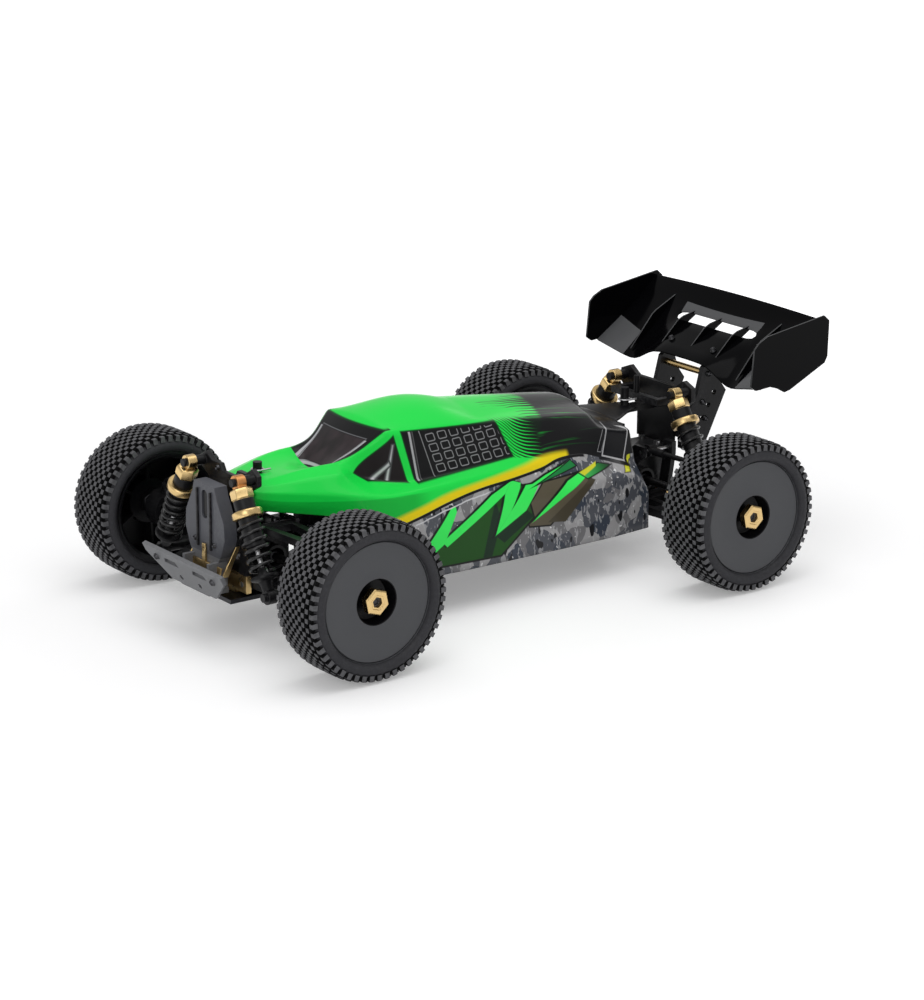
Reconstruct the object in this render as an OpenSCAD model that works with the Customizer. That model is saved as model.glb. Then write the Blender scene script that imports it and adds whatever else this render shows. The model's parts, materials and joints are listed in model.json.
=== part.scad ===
// Four-wheel-drive off-road model buggy, about one eighth of full size.
// Frame: the front of the car faces -Y, +X is the car's left side and +Z is up.
// The origin is on the ground at the middle of the overall length and width.

/* [Layout] */
// Distance between the front and rear axles
wheelbase = 326; // [310:1:345]
// Width over the outside of the tyres
track_w = 309; // [300:1:318]
// Front axle to the front edge of the bumper
front_overhang = 58; // [57:0.5:64]
// Rear axle to the tail of the wing
rear_overhang = 118; // [112:1:130]
// Ground to the underside of the chassis plate
ride_h = 28; // [26:0.5:30]

/* [Wheels] */
// Diameter of the tyre over its tread
wheel_d = 111; // [109:0.5:114]
// Width of the tyre
wheel_w = 44; // [42:0.5:46]
// Diameter of the wheel rim over its lips
rim_d = 80; // [79:0.5:86]
// Diameter of the recess around the wheel nut
cup_d = 32; // [29:0.5:36]
// Width across the flats of the drive hex and of the wheel nut
hex_af = 17; // [15:0.5:18]
// Diameter of the stub axle in its bearing
axle_d = 8; // [6:0.5:9]

/* [Chassis] */
// Thickness of the chassis plate
plate_t = 3; // [2.5:0.1:3.5]
// Width of the chassis plate between the axles
plate_w = 120; // [112:1:124]
// Width of the chassis plate under the gearboxes
plate_end_w = 56; // [52:1:58]
// Length of the battery pack
battery_l = 132; // [110:1:138]
// Diameter of the motor can
motor_d = 36; // [30:0.5:38]
// Teeth on the spur gear
spur_teeth = 40; // [38:2:42]
// Teeth on the motor pinion
pinion_teeth = 12; // [10:2:14]

/* [Suspension] */
// Inner to outer pivot of a lower arm, seen from the front
arm_len = 72; // [68:0.5:73]
// Centre line to the inner pivot of a lower arm
arm_pin_x = 24; // [23:0.5:25]
// Thickness of a lower arm
arm_t = 6; // [5:0.25:7]
// Diameter of the inner hinge pins
hinge_pin_d = 4; // [3:0.25:4.5]
// Diameter of a shock absorber's body
shock_d = 14.6; // [12:0.2:15]
// Diameter of a shock absorber's shaft
shock_shaft_d = 3.5; // [3:0.1:4]
// Outside diameter of a suspension spring
spring_d = 19.2; // [17:0.2:20]
// Wire diameter of a suspension spring
spring_wire_d = 1.8; // [1.2:0.1:2.2]
// Diameter of a driveshaft
driveshaft_d = 6; // [4:0.25:7]

/* [Body and wing] */
// Width of the body over its side pods
body_w = 133; // [130:1:140]
// Ground to the top of the roof
roof_h = 144; // [138:1:150]
// Thickness of the body shell
shell_t = 1.2; // [1:0.1:1.6]
// Width of the wing over its end plates
wing_span = 193; // [170:1:210]
// Thickness of the wing's panels
wing_t = 2; // [1.6:0.1:3]

/* [Hidden] */
$fn = 48;
front = 0;
rear = 1;
left = 1;
right = -1;

// Clearances
running_gap = 0.05;
seat_gap = 0.1;
pivot_gap = 0.5;
open_pivot_gap = 1.1;
tie_rod_gap = 2.3;

// Axle positions
axle_mid_y = (front_overhang - rear_overhang) / 2;
front_axle_y = axle_mid_y - wheelbase / 2;
rear_axle_y = axle_mid_y + wheelbase / 2;
axle_z = wheel_d / 2;
wheel_x = (track_w - wheel_w) / 2;
deck_z = ride_h + plate_t;

// Suspension pivots on the left side, as x and z
arm_in = [arm_pin_x, deck_z + 8];
arm_out = [arm_pin_x + arm_len, axle_z - 15.5];
link_in = [arm_pin_x + 6, axle_z + 21.5];
link_out = [arm_out.x, axle_z + 23.5];
kingpin_x = arm_out.x + 12;
outdrive_x = arm_pin_x + 2;
arm_half_w = 20;
arm_tip_half_w = 12;
arm_boss_half_w = 6.4;
outer_pin_d = 3.5;
link_pin_d = 3;

// Shock absorbers: plane along the car from the axle, top and bottom eyes as x and z
shock_v = [-30, 22];
shock_top = [[31, axle_z + 58.5], [35, axle_z + 62.5]];
shock_bottom = [[arm_in.x + 44, arm_in.y + 4], [arm_in.x + 59, arm_in.y + 6]];
shock_eye_t = 7;
shock_eye_r = 5;
shock_stud_d = 3;
shock_body_short = 34;
collar_s = 26;
collar_t = 4;
spring_seat_s = 15;

// Steering, measured from the front axle
tie_v = 28;
tie_z = axle_z + 14.5;
tie_in_x = 31;
tie_out_x = kingpin_x - 1;
tie_stud_d = 2.8;
saver_x = -24;
saver_v = 66;
saver_arm = 26;
drag_z = tie_z - 7;
drag_t = 3;
steer_travel = 11;

// Driveline
drive_z = axle_z;
gear_module = 1;
gear_backlash = 0.1;
spur_y = 0;
spur_t = 6;
gear_centres = gear_module * (spur_teeth + pinion_teeth) / 2 + gear_backlash;
outdrive_r = 8.5;
outdrive_bore_r = 6.5;
joint_ball_r = 4.3;
joint_plunge = 1.1;
centre_shaft_r = 3;

// Wheel and rim, radii and places along the axle from the wheel's middle
rim_r = rim_d / 2;
barrel_r = rim_r - 2;
barrel_t = 2;
lip_u = wheel_w / 2 - 3;
dish_u = lip_u - 2;
cup_floor_u = 6;
hub_plate_t = 3;
stub_thread_r = 6;
hex_t = 8;

// Towers, gearboxes and hinge holders, measured along the car from the axle
front_tower_v = [-18.5, -14.5];
rear_tower_v = [33, 37];
holder_t = 4;
holder_v = arm_half_w + 0.5;
gearbox_half_w = 18;
gearbox_top_z = axle_z + 18.5;
gearbox_front_v = [-14.4, 18];
gearbox_rear_v = [-18, 32.9];
tail_post_arm_z = axle_z + 49.7;

// Wing, measured from the rear axle
wing_plate_x = wing_span / 2 - wing_t;
wing_fence_x = 61;
wing_valley_x = 53.5;
wing_flat_x = 30;
wing_plate = rear_overhang;

// Body shell stations: share of the wheelbase behind the front axle, then x and z of
// the sill, the flank, the crease, the belt, the roof edge and z of the centre line
shell_stations = [
    [-0.040, [22, 89], [23, 94], [22, 101], [19, 104.5], [11, 105.5], 106],
    [0.040, [36, 84.5], [37, 90], [37, 100], [32, 105.5], [17, 106], 106.5],
    [0.150, [49, 79], [50, 85], [49.5, 95.5], [40, 103.5], [19, 101.5], 102],
    [0.209, [57, 76], [58, 82], [56, 93], [29, 103], [27, 116.5], 118],
    [0.267, [64, 50], [63, 70], [60.5, 91.5], [40, 98.5], [36, 132.5], 135],
    [0.310, [66, 30], [64, 70], [60, 92], [45, 96], [38, 130], 139.5],
    [0.414, [66.5, 30], [64, 70], [59, 93], [46.5, 97.5], [40, 128.5], 144],
    [0.506, [66.5, 30], [64, 70], [57.5, 93.5], [47.5, 99.5], [41, 126], 137],
    [0.617, [66.5, 30], [64.5, 72], [56, 94], [48, 101], [40, 122.5], 132.5],
    [0.760, [66.5, 30], [65, 74], [55, 90], [46.5, 109], [37, 118], 127],
    [0.847, [66.5, 31], [66, 76], [52, 86], [46, 107], [33, 114.5], 121.5],
    [0.918, [66.5, 32], [66, 72], [50, 82], [43, 102], [27, 112.5], 117]
];

// Places a corner's piece, drawn for the left side with y measured from its axle
module at_corner(end, side) {
    translate([0, end == front ? front_axle_y : rear_axle_y, 0])
        if (side == left) children();
        else mirror([1, 0, 0]) children();
}

// Makes a piece on both sides of the car
module both_sides() {
    children();
    mirror([1, 0, 0]) children();
}

// Extrudes an outline of x and z points along the car, from v0 to v1
module plate_xz(v0, v1) {
    translate([0, v1, 0]) rotate([90, 0, 0]) linear_extrude(v1 - v0) children();
}

// Extrudes an outline of y and z points across the car, from x0 to x1
module plate_yz(x0, x1) {
    translate([x0, 0, 0]) rotate([90, 0, 90]) linear_extrude(x1 - x0) children();
}

// Round bar along X, Y or Z, from a to b on that axis
module bar_x(r, a, b) { translate([a, 0, 0]) rotate([0, 90, 0]) cylinder(r = r, h = b - a); }
module bar_y(r, a, b) { translate([0, b, 0]) rotate([90, 0, 0]) cylinder(r = r, h = b - a); }
module bar_z(r, a, b) { translate([0, 0, a]) cylinder(r = r, h = b - a); }

// Block between two corners
module block(low, high) { translate(low) cube(high - low); }

// Hexagonal bar along X with flats af apart
module hex_bar_x(af, a, b) {
    translate([a, 0, 0]) rotate([0, 90, 0]) cylinder(d = af / cos(30), h = b - a, $fn = 6);
}

// ---------------------------------------------------------------- chassis

// Flat plate that everything is bolted to
module chassis_plate() {
    half = plate_w / 2;
    end_half = plate_end_w / 2;
    outline = [
        [-end_half, front_axle_y - 36], [end_half, front_axle_y - 36],
        [end_half, front_axle_y + 30], [44, front_axle_y + 62],
        [half, front_axle_y + 105], [half, rear_axle_y - 75],
        [44, rear_axle_y - 40], [end_half, rear_axle_y - 26],
        [end_half, rear_axle_y + 38], [-end_half, rear_axle_y + 38],
        [-end_half, rear_axle_y - 26], [-44, rear_axle_y - 40],
        [-half, rear_axle_y - 75], [-half, front_axle_y + 105],
        [-44, front_axle_y + 62], [-end_half, front_axle_y + 30]
    ];
    color("dimgray")
        difference() {
            translate([0, 0, ride_h]) linear_extrude(plate_t) polygon(outline);
            for (x = [-12, 12]) {
                translate([x, front_axle_y - 31, 0]) bar_z(1.6, ride_h - 1, deck_z + 1);
                translate([x, rear_axle_y + 33, 0]) bar_z(1.6, ride_h - 1, deck_z + 1);
            }
        }
}

// Front steering bridge, centre differential mounts, rear brace and side guards
module chassis_braces() {
    bridge_y = front_axle_y + tie_v;
    bridge_top = drag_z - drag_t / 2 - seat_gap;
    mount_r = outdrive_bore_r - 0.5;
    color("#202124") {
        both_sides() block([36, bridge_y - 4, deck_z], [40, bridge_y + 4, bridge_top]);
        block([-40, bridge_y - 4, bridge_top - 2.6], [40, bridge_y + 4, bridge_top]);
        for (x = [-14, 14])
            translate([x, bridge_y, 0]) {
                bar_z(2, bridge_top - 1, drag_z + drag_t / 2 + 0.3);
                bar_z(3.6, drag_z + drag_t / 2 + 0.2, drag_z + drag_t / 2 + 1.7);
            }
        for (y = [spur_y - 26, spur_y + 22])
            difference() {
                union() {
                    block([-7.5, y, deck_z], [7.5, y + 4, drive_z]);
                    translate([0, 0, drive_z]) bar_y(7.6, y, y + 4);
                }
                translate([0, 0, drive_z]) bar_y(mount_r + running_gap, y - 1, y + 5);
            }
        block([-9, rear_axle_y - 64, deck_z], [-6, rear_axle_y - 25, deck_z + 12]);
        both_sides()
            difference() {
                block([plate_w / 2 - 12, front_axle_y + 108, deck_z],
                      [plate_w / 2 + 3, rear_axle_y - 78, ride_h + 24]);
                block([plate_w / 2 - 13, front_axle_y + 107, deck_z + 2],
                      [plate_w / 2 + 1, rear_axle_y - 77, ride_h + 25]);
            }
    }
}

// Tilted bumper plate with its foot, and the guard in front of the gearbox
module front_bumper() {
    top_z = 56;
    bottom_z = 34;
    lean = 25.5;
    slant = (top_z - bottom_z) / cos(lean);
    foot_v = -front_overhang + slant * sin(lean);
    plate_half = [28, 50.5];
    guard_v = [-38, -28];
    guard = [
        [12, 50], [20, 60], [25, 72], [24, 84], [15, 100], [13, 107],
        [-13, 107], [-15, 100], [-24, 84], [-25, 72], [-20, 60], [-12, 50]
    ];
    color("#55565c")
        translate([0, front_axle_y, 0]) {
            translate([0, foot_v, bottom_z])
                rotate([lean, 0, 0])
                    difference() {
                        plate_xz(0, 3)
                            polygon([
                                [-plate_half[0], 0], [plate_half[0], 0],
                                [plate_half[1], slant - 6], [plate_half[1], slant],
                                [-plate_half[1], slant], [-plate_half[1], slant - 6]
                            ]);
                        for (x = [-36, 36])
                            translate([x, 0, slant - 8]) bar_y(2.2, -1, 4);
                        for (x = [-18, 18])
                            plate_xz(-1, 4)
                                polygon([[x - 9, 15], [x + 9, 15], [x + 7, 19], [x - 7, 19]]);
                        for (x = [-12, 12])
                            translate([x, 0, 6]) bar_y(2, -1, 4);
                    }
            block([-18, foot_v + 0.6, bottom_z - 1], [18, -31, bottom_z + 3]);
            for (x = [-17, 14])
                block([x, foot_v + 1.5, bottom_z], [x + 3, -31, 55]);
            difference() {
                plate_xz(guard_v[0], guard_v[1]) polygon(guard);
                plate_xz(guard_v[0] + 3, guard_v[1] + 1)
                    intersection() {
                        offset(delta = -2.5) polygon(guard);
                        translate([-30, 57]) square([60, 60]);
                    }
                plate_xz(guard_v[0] - 1, guard_v[0] + 4) {
                    translate([-3.5, 86]) square([7, 13]);
                    for (z = [86, 99]) translate([0, z]) circle(r = 3.5);
                }
            }
            for (x = [-9, 7.5])
                block([x, guard_v[0] - 1.2, 62], [x + 1.5, guard_v[0] + 0.5, 102]);
        }
}

// Gearbox housing with its two output cups; v0 and v1 are its ends from the axle
module gearbox(v0, v1, lower_v1, input_v) {
    difference() {
        union() {
            block([-gearbox_half_w, v0, deck_z], [gearbox_half_w, lower_v1, axle_z - 9]);
            block([-gearbox_half_w, v0, axle_z - 9.5], [gearbox_half_w, v1, gearbox_top_z - 5]);
            block([-13, v0, gearbox_top_z - 6], [13, v1, gearbox_top_z]);
            translate([0, 0, axle_z]) bar_x(13, -gearbox_half_w - 0.1, gearbox_half_w + 0.1);
        }
        translate([0, 0, axle_z]) bar_x(outdrive_bore_r, -gearbox_half_w - 1, gearbox_half_w + 1);
        translate([0, 0, axle_z])
            bar_y(centre_shaft_r + 0.4, min(input_v, 0), max(input_v, 0));
    }
    both_sides()
        translate([0, 0, axle_z])
            difference() {
                union() {
                    bar_x(outdrive_bore_r - seat_gap, 2, gearbox_half_w + 1);
                    bar_x(outdrive_r, gearbox_half_w + 0.4, outdrive_x + 4);
                }
                bar_x(outdrive_bore_r, gearbox_half_w + 2, outdrive_x + 5);
            }
}

// Ear on a gearbox that holds one end of the upper hinge pin
module pin_ear(v0, v1) {
    both_sides()
        difference() {
            plate_xz(v0, v1)
                polygon([
                    [12, gearbox_top_z - 12], [gearbox_half_w, gearbox_top_z - 12],
                    [link_in.x + 4.5, link_in.y - 3], [link_in.x + 4.5, link_in.y + 4.5],
                    [link_in.x - 6, link_in.y + 4.5], [12, gearbox_top_z]
                ]);
            translate([link_in.x, 0, link_in.y])
                bar_y(link_pin_d / 2 + running_gap, v0 - 1, v1 + 1);
        }
}

// Front gearbox with the front body post
module front_gearbox() {
    color("#2b2c30")
        translate([0, front_axle_y, 0]) {
            gearbox(gearbox_front_v[0], gearbox_front_v[1], gearbox_front_v[1], 19);
            pin_ear(13, 16);
            translate([0, 5, 0]) bar_z(3.2, gearbox_top_z - 1, axle_z + 60);
        }
}

// Rear gearbox
module rear_gearbox() {
    color("#2b2c30")
        translate([0, rear_axle_y, 0]) {
            gearbox(gearbox_rear_v[0], gearbox_rear_v[1], 19, -19);
            pin_ear(-6, -3);
        }
}

// Stud, spacer and head that hold a shock absorber's eye; dir is the way it points
module shock_stud(v_from, v_eye, dir) {
    near = v_eye - dir * (shock_eye_t / 2 + pivot_gap);
    far = v_eye + dir * (shock_eye_t / 2 + pivot_gap);
    bar_y(3.6, min(v_from, near), max(v_from, near));
    bar_y(shock_stud_d / 2, min(v_from, far + dir), max(v_from, far + dir));
    bar_y(3, min(far, far + 2 * dir), max(far, far + 2 * dir));
}

// Front shock tower
module front_shock_tower() {
    top = shock_top[front];
    color("#3a3b40")
        translate([0, front_axle_y, 0]) {
            both_sides() {
                plate_xz(front_tower_v[0], front_tower_v[1])
                    polygon([
                        [-1, axle_z + 1], [14, axle_z + 1], [21, axle_z + 15], [22, axle_z + 33],
                        [25, axle_z + 48], [36, axle_z + 54], [36, axle_z + 61],
                        [29, axle_z + 65], [21, axle_z + 60], [11, axle_z + 60],
                        [8, axle_z + 55], [-1, axle_z + 55]
                    ]);
                translate([top.x, 0, top.y]) shock_stud(front_tower_v[0] + 1, shock_v[front], -1);
            }
        }
}

// Rear shock tower with the bracket and post that hold the tail of the body
module rear_shock_tower() {
    top = shock_top[rear];
    ring = [axle_z + 53, axle_z + 58];
    color("#202124")
        translate([0, rear_axle_y, 0]) {
            both_sides() {
                plate_xz(rear_tower_v[0], rear_tower_v[1])
                    polygon([
                        [-1, axle_z + 3], [15, axle_z + 3], [19, axle_z + 18],
                        [20, axle_z + 40], [41, axle_z + 56], [41, axle_z + 66],
                        [31, axle_z + 70], [22, axle_z + 64], [-1, axle_z + 64]
                    ]);
                translate([top.x, 0, top.y]) shock_stud(rear_tower_v[0] + 1, shock_v[rear], -1);
                block([22, 14, ring[0]], [27, rear_tower_v[0] + 1, ring[1]]);
            }
            block([-27, 12, ring[0]], [27, 17, ring[1]]);
            block([-4, 3, tail_post_arm_z - 5], [4, rear_tower_v[0] + 1, tail_post_arm_z]);
            translate([0, 3, 0]) bar_z(4.5, tail_post_arm_z - 5, tail_post_arm_z);
            translate([0, 3, 0]) bar_z(3.2, tail_post_arm_z - 1, tail_post_arm_z + 14);
            translate([0, 14.5, 0]) bar_z(2.2, ring[1] - 1, axle_z + 71);
        }
}

// Outline of a hinge holder, with arms up to the upper pin where they are wanted
module holder_outline(arms) {
    difference() {
        union() {
            polygon([
                [-arm_in.x - 6, arm_in.y - 5.5], [arm_in.x + 6, arm_in.y - 5.5],
                [arm_in.x + 6, arm_in.y + 5.5], [-arm_in.x - 6, arm_in.y + 5.5]
            ]);
            if (arms)
                for (s = [-1, 1])
                    polygon([
                        [s * (arm_in.x - 4), arm_in.y + 5], [s * (arm_in.x + 6), arm_in.y + 5],
                        [s * (link_in.x + 5), link_in.y - 4], [s * (link_in.x + 5), link_in.y + 5],
                        [s * (link_in.x - 5), link_in.y + 5], [s * (link_in.x - 5), link_in.y - 4]
                    ]);
        }
        for (s = [-1, 1]) {
            translate([s * arm_in.x, arm_in.y]) circle(d = hinge_pin_d + 2 * running_gap);
            translate([s * link_in.x, link_in.y]) circle(d = link_pin_d + 2 * running_gap);
        }
    }
}

// Four hinge holders and the inner hinge pins that they carry
module hinge_holders() {
    reach = holder_v + holder_t;
    color("goldenrod") {
        for (axle_y = [front_axle_y, rear_axle_y]) {
            is_front = axle_y < 0;
            translate([0, axle_y, 0]) {
                plate_xz(-reach, -holder_v) holder_outline(is_front);
                plate_xz(holder_v, reach) holder_outline(!is_front);
                both_sides() {
                    translate([arm_in.x, 0, arm_in.y]) bar_y(hinge_pin_d / 2, -reach, reach);
                    translate([link_in.x, 0, link_in.y])
                        bar_y(link_pin_d / 2, is_front ? -reach : -6, is_front ? 16 : reach);
                }
            }
        }
        for (axle_y = [front_axle_y, rear_axle_y])
            for (v = [-reach, holder_v])
                block([-16, axle_y + v, deck_z], [16, axle_y + v + holder_t, arm_in.y - 5.4]);
    }
}

// ---------------------------------------------------------------- body and wing

shell_scale_x = body_w / 133;
shell_rise = roof_h - 144;
function shell_y(s) = front_axle_y + s[0] * wheelbase;
function shell_half(s, t) = [
    [s[1].x * shell_scale_x - t, s[1].y],
    [s[2].x * shell_scale_x - t, s[2].y],
    [s[3].x * shell_scale_x - t, s[3].y - t / 2],
    [s[4].x * shell_scale_x - t / 2, s[4].y + shell_rise / 2 - t],
    [s[5].x * shell_scale_x - t / 2, s[5].y + shell_rise - t],
    [0, s[6] + shell_rise - t]
];
function shell_ring(s, t) =
    let (h = shell_half(s, t), y = shell_y(s) + (s == shell_stations[0] ? t : 0))
    concat([for (p = h) [-p.x, y, p.y]],
           [for (i = [len(h) - 2:-1:0]) [h[i].x, y, h[i].y]]);

// Thin shell lofted through the stations, closed at the nose and open below and behind
module shell_loft() {
    n = 11;
    m = len(shell_stations);
    points = concat([for (s = shell_stations) each shell_ring(s, 0)],
                    [for (s = shell_stations) each shell_ring(s, shell_t)]);
    inner = n * m;
    faces = concat(
        [for (j = [0:m - 2]) for (i = [0:n - 2]) each [
            [j * n + i, (j + 1) * n + i, (j + 1) * n + i + 1],
            [j * n + i, (j + 1) * n + i + 1, j * n + i + 1],
            [inner + j * n + i, inner + (j + 1) * n + i + 1, inner + (j + 1) * n + i],
            [inner + j * n + i, inner + j * n + i + 1, inner + (j + 1) * n + i + 1]]],
        [for (j = [0:m - 2]) each [
            [j * n, inner + j * n, inner + (j + 1) * n],
            [j * n, inner + (j + 1) * n, (j + 1) * n],
            [j * n + n - 1, inner + (j + 1) * n + n - 1, inner + j * n + n - 1],
            [j * n + n - 1, (j + 1) * n + n - 1, inner + (j + 1) * n + n - 1]]],
        [for (i = [1:n - 2]) each [[0, i, i + 1], [inner, inner + i + 1, inner + i]]],
        [[0, n - 1, inner + n - 1], [0, inner + n - 1, inner]],
        [for (i = [0:n - 2]) each [
            [(m - 1) * n + i, inner + (m - 1) * n + i + 1, (m - 1) * n + i + 1],
            [(m - 1) * n + i, inner + (m - 1) * n + i, inner + (m - 1) * n + i + 1]]]);
    polyhedron(points = points, faces = faces, convexity = 8);
}

// Body shell: the loft and the tongue that reaches the rear post
module body_shell() {
    tail = shell_stations[len(shell_stations) - 1];
    tongue_z = tail_post_arm_z + 0.3;
    riser_half_w = 8;
    color("limegreen")
        difference() {
            union() {
                shell_loft();
                block([-11, shell_y(tail) - 14, tongue_z],
                      [11, rear_axle_y + 9, tongue_z + shell_t]);
                block([-riser_half_w, shell_y(tail) - 3, tongue_z],
                      [riser_half_w, shell_y(tail) - 0.4, tail[6] + shell_rise - 1.8]);
            }
            translate([0, front_axle_y + 5, 0]) bar_z(3.8, axle_z, roof_h);
            translate([0, rear_axle_y + 3, 0]) bar_z(3.8, tongue_z - 1, tongue_z + 3);
        }
}

// Thin panel through three or four points, each an [x, v, z] from the rear axle
module wing_panel(corners) {
    hull()
        for (p = corners)
            translate(p) cube(wing_t, center = true);
}

// Wing: stepped main plate, upper flap, fences, fins and end plates
module rear_wing() {
    lead = [55, 134.6];
    flat_rear = [88, 151.3];
    flap = [[96, 153.5], [101, 160], [wing_plate - 4, 171.5]];
    valley = [56, 121.6];
    tip = [53, 130];
    x_end = wing_plate_x - wing_t / 2;
    color("#101012")
        translate([0, rear_axle_y, 0]) {
            wing_panel([[-wing_flat_x, lead[0], lead[1]], [wing_flat_x, lead[0], lead[1]],
                        [-47, flat_rear[0], flat_rear[1]], [47, flat_rear[0], flat_rear[1]]]);
            both_sides() {
                wing_panel([[wing_flat_x, lead[0], lead[1]], [wing_valley_x, valley[0], valley[1]],
                            [47, flat_rear[0], flat_rear[1]]]);
                wing_panel([[wing_valley_x, valley[0], valley[1]], [x_end, tip[0], tip[1]],
                            [x_end, flap[2][0], flap[2][1]], [47, flat_rear[0], flat_rear[1]]]);
                wing_panel([[47, flat_rear[0], flat_rear[1]], [47, flap[2][0], flap[2][1]],
                            [x_end, flap[2][0], flap[2][1]]]);
                plate_yz(wing_fence_x - wing_t / 2, wing_fence_x + wing_t / 2)
                    polygon([[58, 128], [82, 155], [108, 168.5], [106, 165], [80, 140]]);
                plate_yz(wing_plate_x, wing_span / 2)
                    polygon([
                        [42, 133], [49, 160], [54, 164.5], [wing_plate - 5, 177.5],
                        [wing_plate, 172.5], [wing_plate - 1, 145], [wing_plate - 5, 139.5],
                        [81, 125], [75, 124.5], [67, 128.5], [60, 131], [48, 129]
                    ]);
            }
            wing_panel([[-48, flap[0][0], flap[0][1]], [48, flap[0][0], flap[0][1]],
                        [-48, flap[2][0], flap[2][1]], [48, flap[2][0], flap[2][1]]]);
            for (x = [-31, 0, 31])
                plate_yz(x - wing_t / 2, x + wing_t / 2)
                    polygon([[64, 138], [98, 155.5], [98, 152], [88, 149], [68, 138.5]]);
        }
}

// Two side plates and the cross brace that carry the wing
module wing_mount() {
    color("#202124")
        translate([0, rear_axle_y, 0]) {
            both_sides()
                difference() {
                    plate_yz(22, 26)
                        polygon([
                            [rear_tower_v[1], 72], [62, 75], [76, 103], [80, 111], [74, 119],
                            [67, 137], [57, 131.5], [52, 112], [44, 99], [rear_tower_v[1], 96]
                        ]);
                    for (i = [0:3])
                        translate([0, 52 + 5.4 * i, 84 + 9 * i]) bar_x(2, 20, 30);
                }
            translate([0, 62, 126]) bar_x(2.5, -21.9, 21.9);
            block([-21.9, rear_tower_v[1], 80], [21.9, rear_tower_v[1] + 3, 92]);
        }
}

// ---------------------------------------------------------------- drive and electrics

// Gear outline with straight-sided teeth
module gear_outline(teeth, phase) {
    pitch_r = gear_module * teeth / 2;
    tip_r = pitch_r + 0.85 * gear_module;
    root_r = pitch_r - 1.1 * gear_module;
    step = 360 / teeth;
    polygon([for (i = [0:teeth - 1]) each [
        for (k = [[-0.33, root_r], [-0.11, tip_r], [0.11, tip_r], [0.33, root_r]])
            k[1] * [cos(phase + (i + k[0]) * step), sin(phase + (i + k[0]) * step)]]]);
}

// Electric motor with its mount plate
module motor() {
    r = motor_d / 2;
    color("#3c3c40")
        translate([-gear_centres, 0, drive_z]) {
            bar_y(r, spur_y + 12, spur_y + 72);
            bar_y(r - 4, spur_y + 71, spur_y + 76);
            bar_y(2.5, spur_y - 5, spur_y + 13);
            difference() {
                block([-r - 2, spur_y + 7.5, deck_z - drive_z], [12.5, spur_y + 12.1, r - 4]);
                bar_y(4, spur_y + 6, spur_y + 13);
            }
        }
}

// Pinion on the motor's shaft
module motor_pinion() {
    half = spur_t / 2;
    color("silver")
        translate([-gear_centres, spur_y + half, drive_z])
            rotate([90, 0, 0])
                difference() {
                    linear_extrude(spur_t) gear_outline(pinion_teeth, 180 / pinion_teeth);
                    translate([0, 0, -1]) cylinder(r = 2.5 + running_gap, h = spur_t + 2);
                }
}

// Centre differential: case, spur gear, output cups and the two long shafts
module centre_diff() {
    cup_r = outdrive_bore_r - 0.5;
    half = spur_t / 2;
    color("#4a4a4e")
        translate([0, 0, drive_z]) {
            translate([0, spur_y + half, 0])
                rotate([90, 0, 0]) linear_extrude(spur_t) gear_outline(spur_teeth, 0);
            bar_y(13, spur_y + half - 0.5, spur_y + 11.5);
            bar_y(cup_r, spur_y - 26, spur_y - half + 0.5);
            bar_y(cup_r, spur_y + 11, spur_y + 26);
            bar_y(centre_shaft_r, front_axle_y + gearbox_front_v[1] - 8, spur_y - 25);
            bar_y(centre_shaft_r, spur_y + 25, rear_axle_y + gearbox_rear_v[0] + 8);
        }
}

// Steering servo with its mounting ears and output shaft
module steering_servo() {
    y = front_axle_y + saver_v;
    top = tie_z - 3.2;
    color("#1c1c1e") {
        block([saver_x - 10, y - 10, deck_z], [saver_x + 10, y + 30, top]);
        block([saver_x - 10, y - 17, top - 12], [saver_x + 10, y + 37, top - 9]);
        translate([saver_x, y, 0]) bar_z(3, top - 1, tie_z + 2.5);
    }
}

// Servo saver: sprung arm on the servo's shaft, with its pin in the drag link's slot
module servo_saver() {
    z0 = tie_z - 2.6;
    color("#26262a")
        translate([saver_x, front_axle_y + saver_v, 0]) {
            difference() {
                union() {
                    bar_z(8.5, z0, z0 + 6);
                    bar_z(6.5, z0 + 5.5, z0 + 9);
                    block([-3.5, -saver_arm, z0], [3.5, -5, z0 + 3]);
                    translate([0, -saver_arm, 0]) bar_z(3.5, z0, z0 + 3);
                }
                bar_z(3 + running_gap, z0 - 1, tie_z + 3);
            }
            translate([0, -saver_arm, 0]) bar_z(1.8, drag_z - drag_t / 2, z0 + 0.5);
        }
}

// Drag link: sliding plate that carries both tie rod studs
module drag_link() {
    z0 = drag_z - drag_t / 2;
    pin_v = saver_v - saver_arm;
    color("silver")
        translate([0, front_axle_y, 0])
            difference() {
                union() {
                    block([-35, tie_v - 5, z0], [35, tie_v + 5, z0 + drag_t]);
                    block([saver_x - 7, tie_v, z0], [saver_x + 7, pin_v + 6, z0 + drag_t]);
                    for (x = [-tie_in_x, tie_in_x])
                        translate([x, tie_v, 0]) {
                            bar_z(tie_stud_d / 2, z0 + 1, tie_z + 3.4);
                            bar_z(2.6, z0 + drag_t - 0.5, tie_z - 2.7);
                            bar_z(2.6, tie_z + 2.7, tie_z + 4.2);
                        }
                }
                for (x = [-14, 14]) {
                    block([x - steer_travel, tie_v - 2.1, z0 - 1],
                          [x + steer_travel, tie_v + 2.1, z0 + drag_t + 1]);
                    for (s = [-1, 1])
                        translate([x + s * steer_travel, tie_v, 0])
                            bar_z(2.1, z0 - 1, z0 + drag_t + 1);
                }
                block([saver_x - 1.95, pin_v - 2, z0 - 1], [saver_x + 1.95, pin_v + 4.3, z0 + drag_t + 1]);
            }
}

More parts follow.
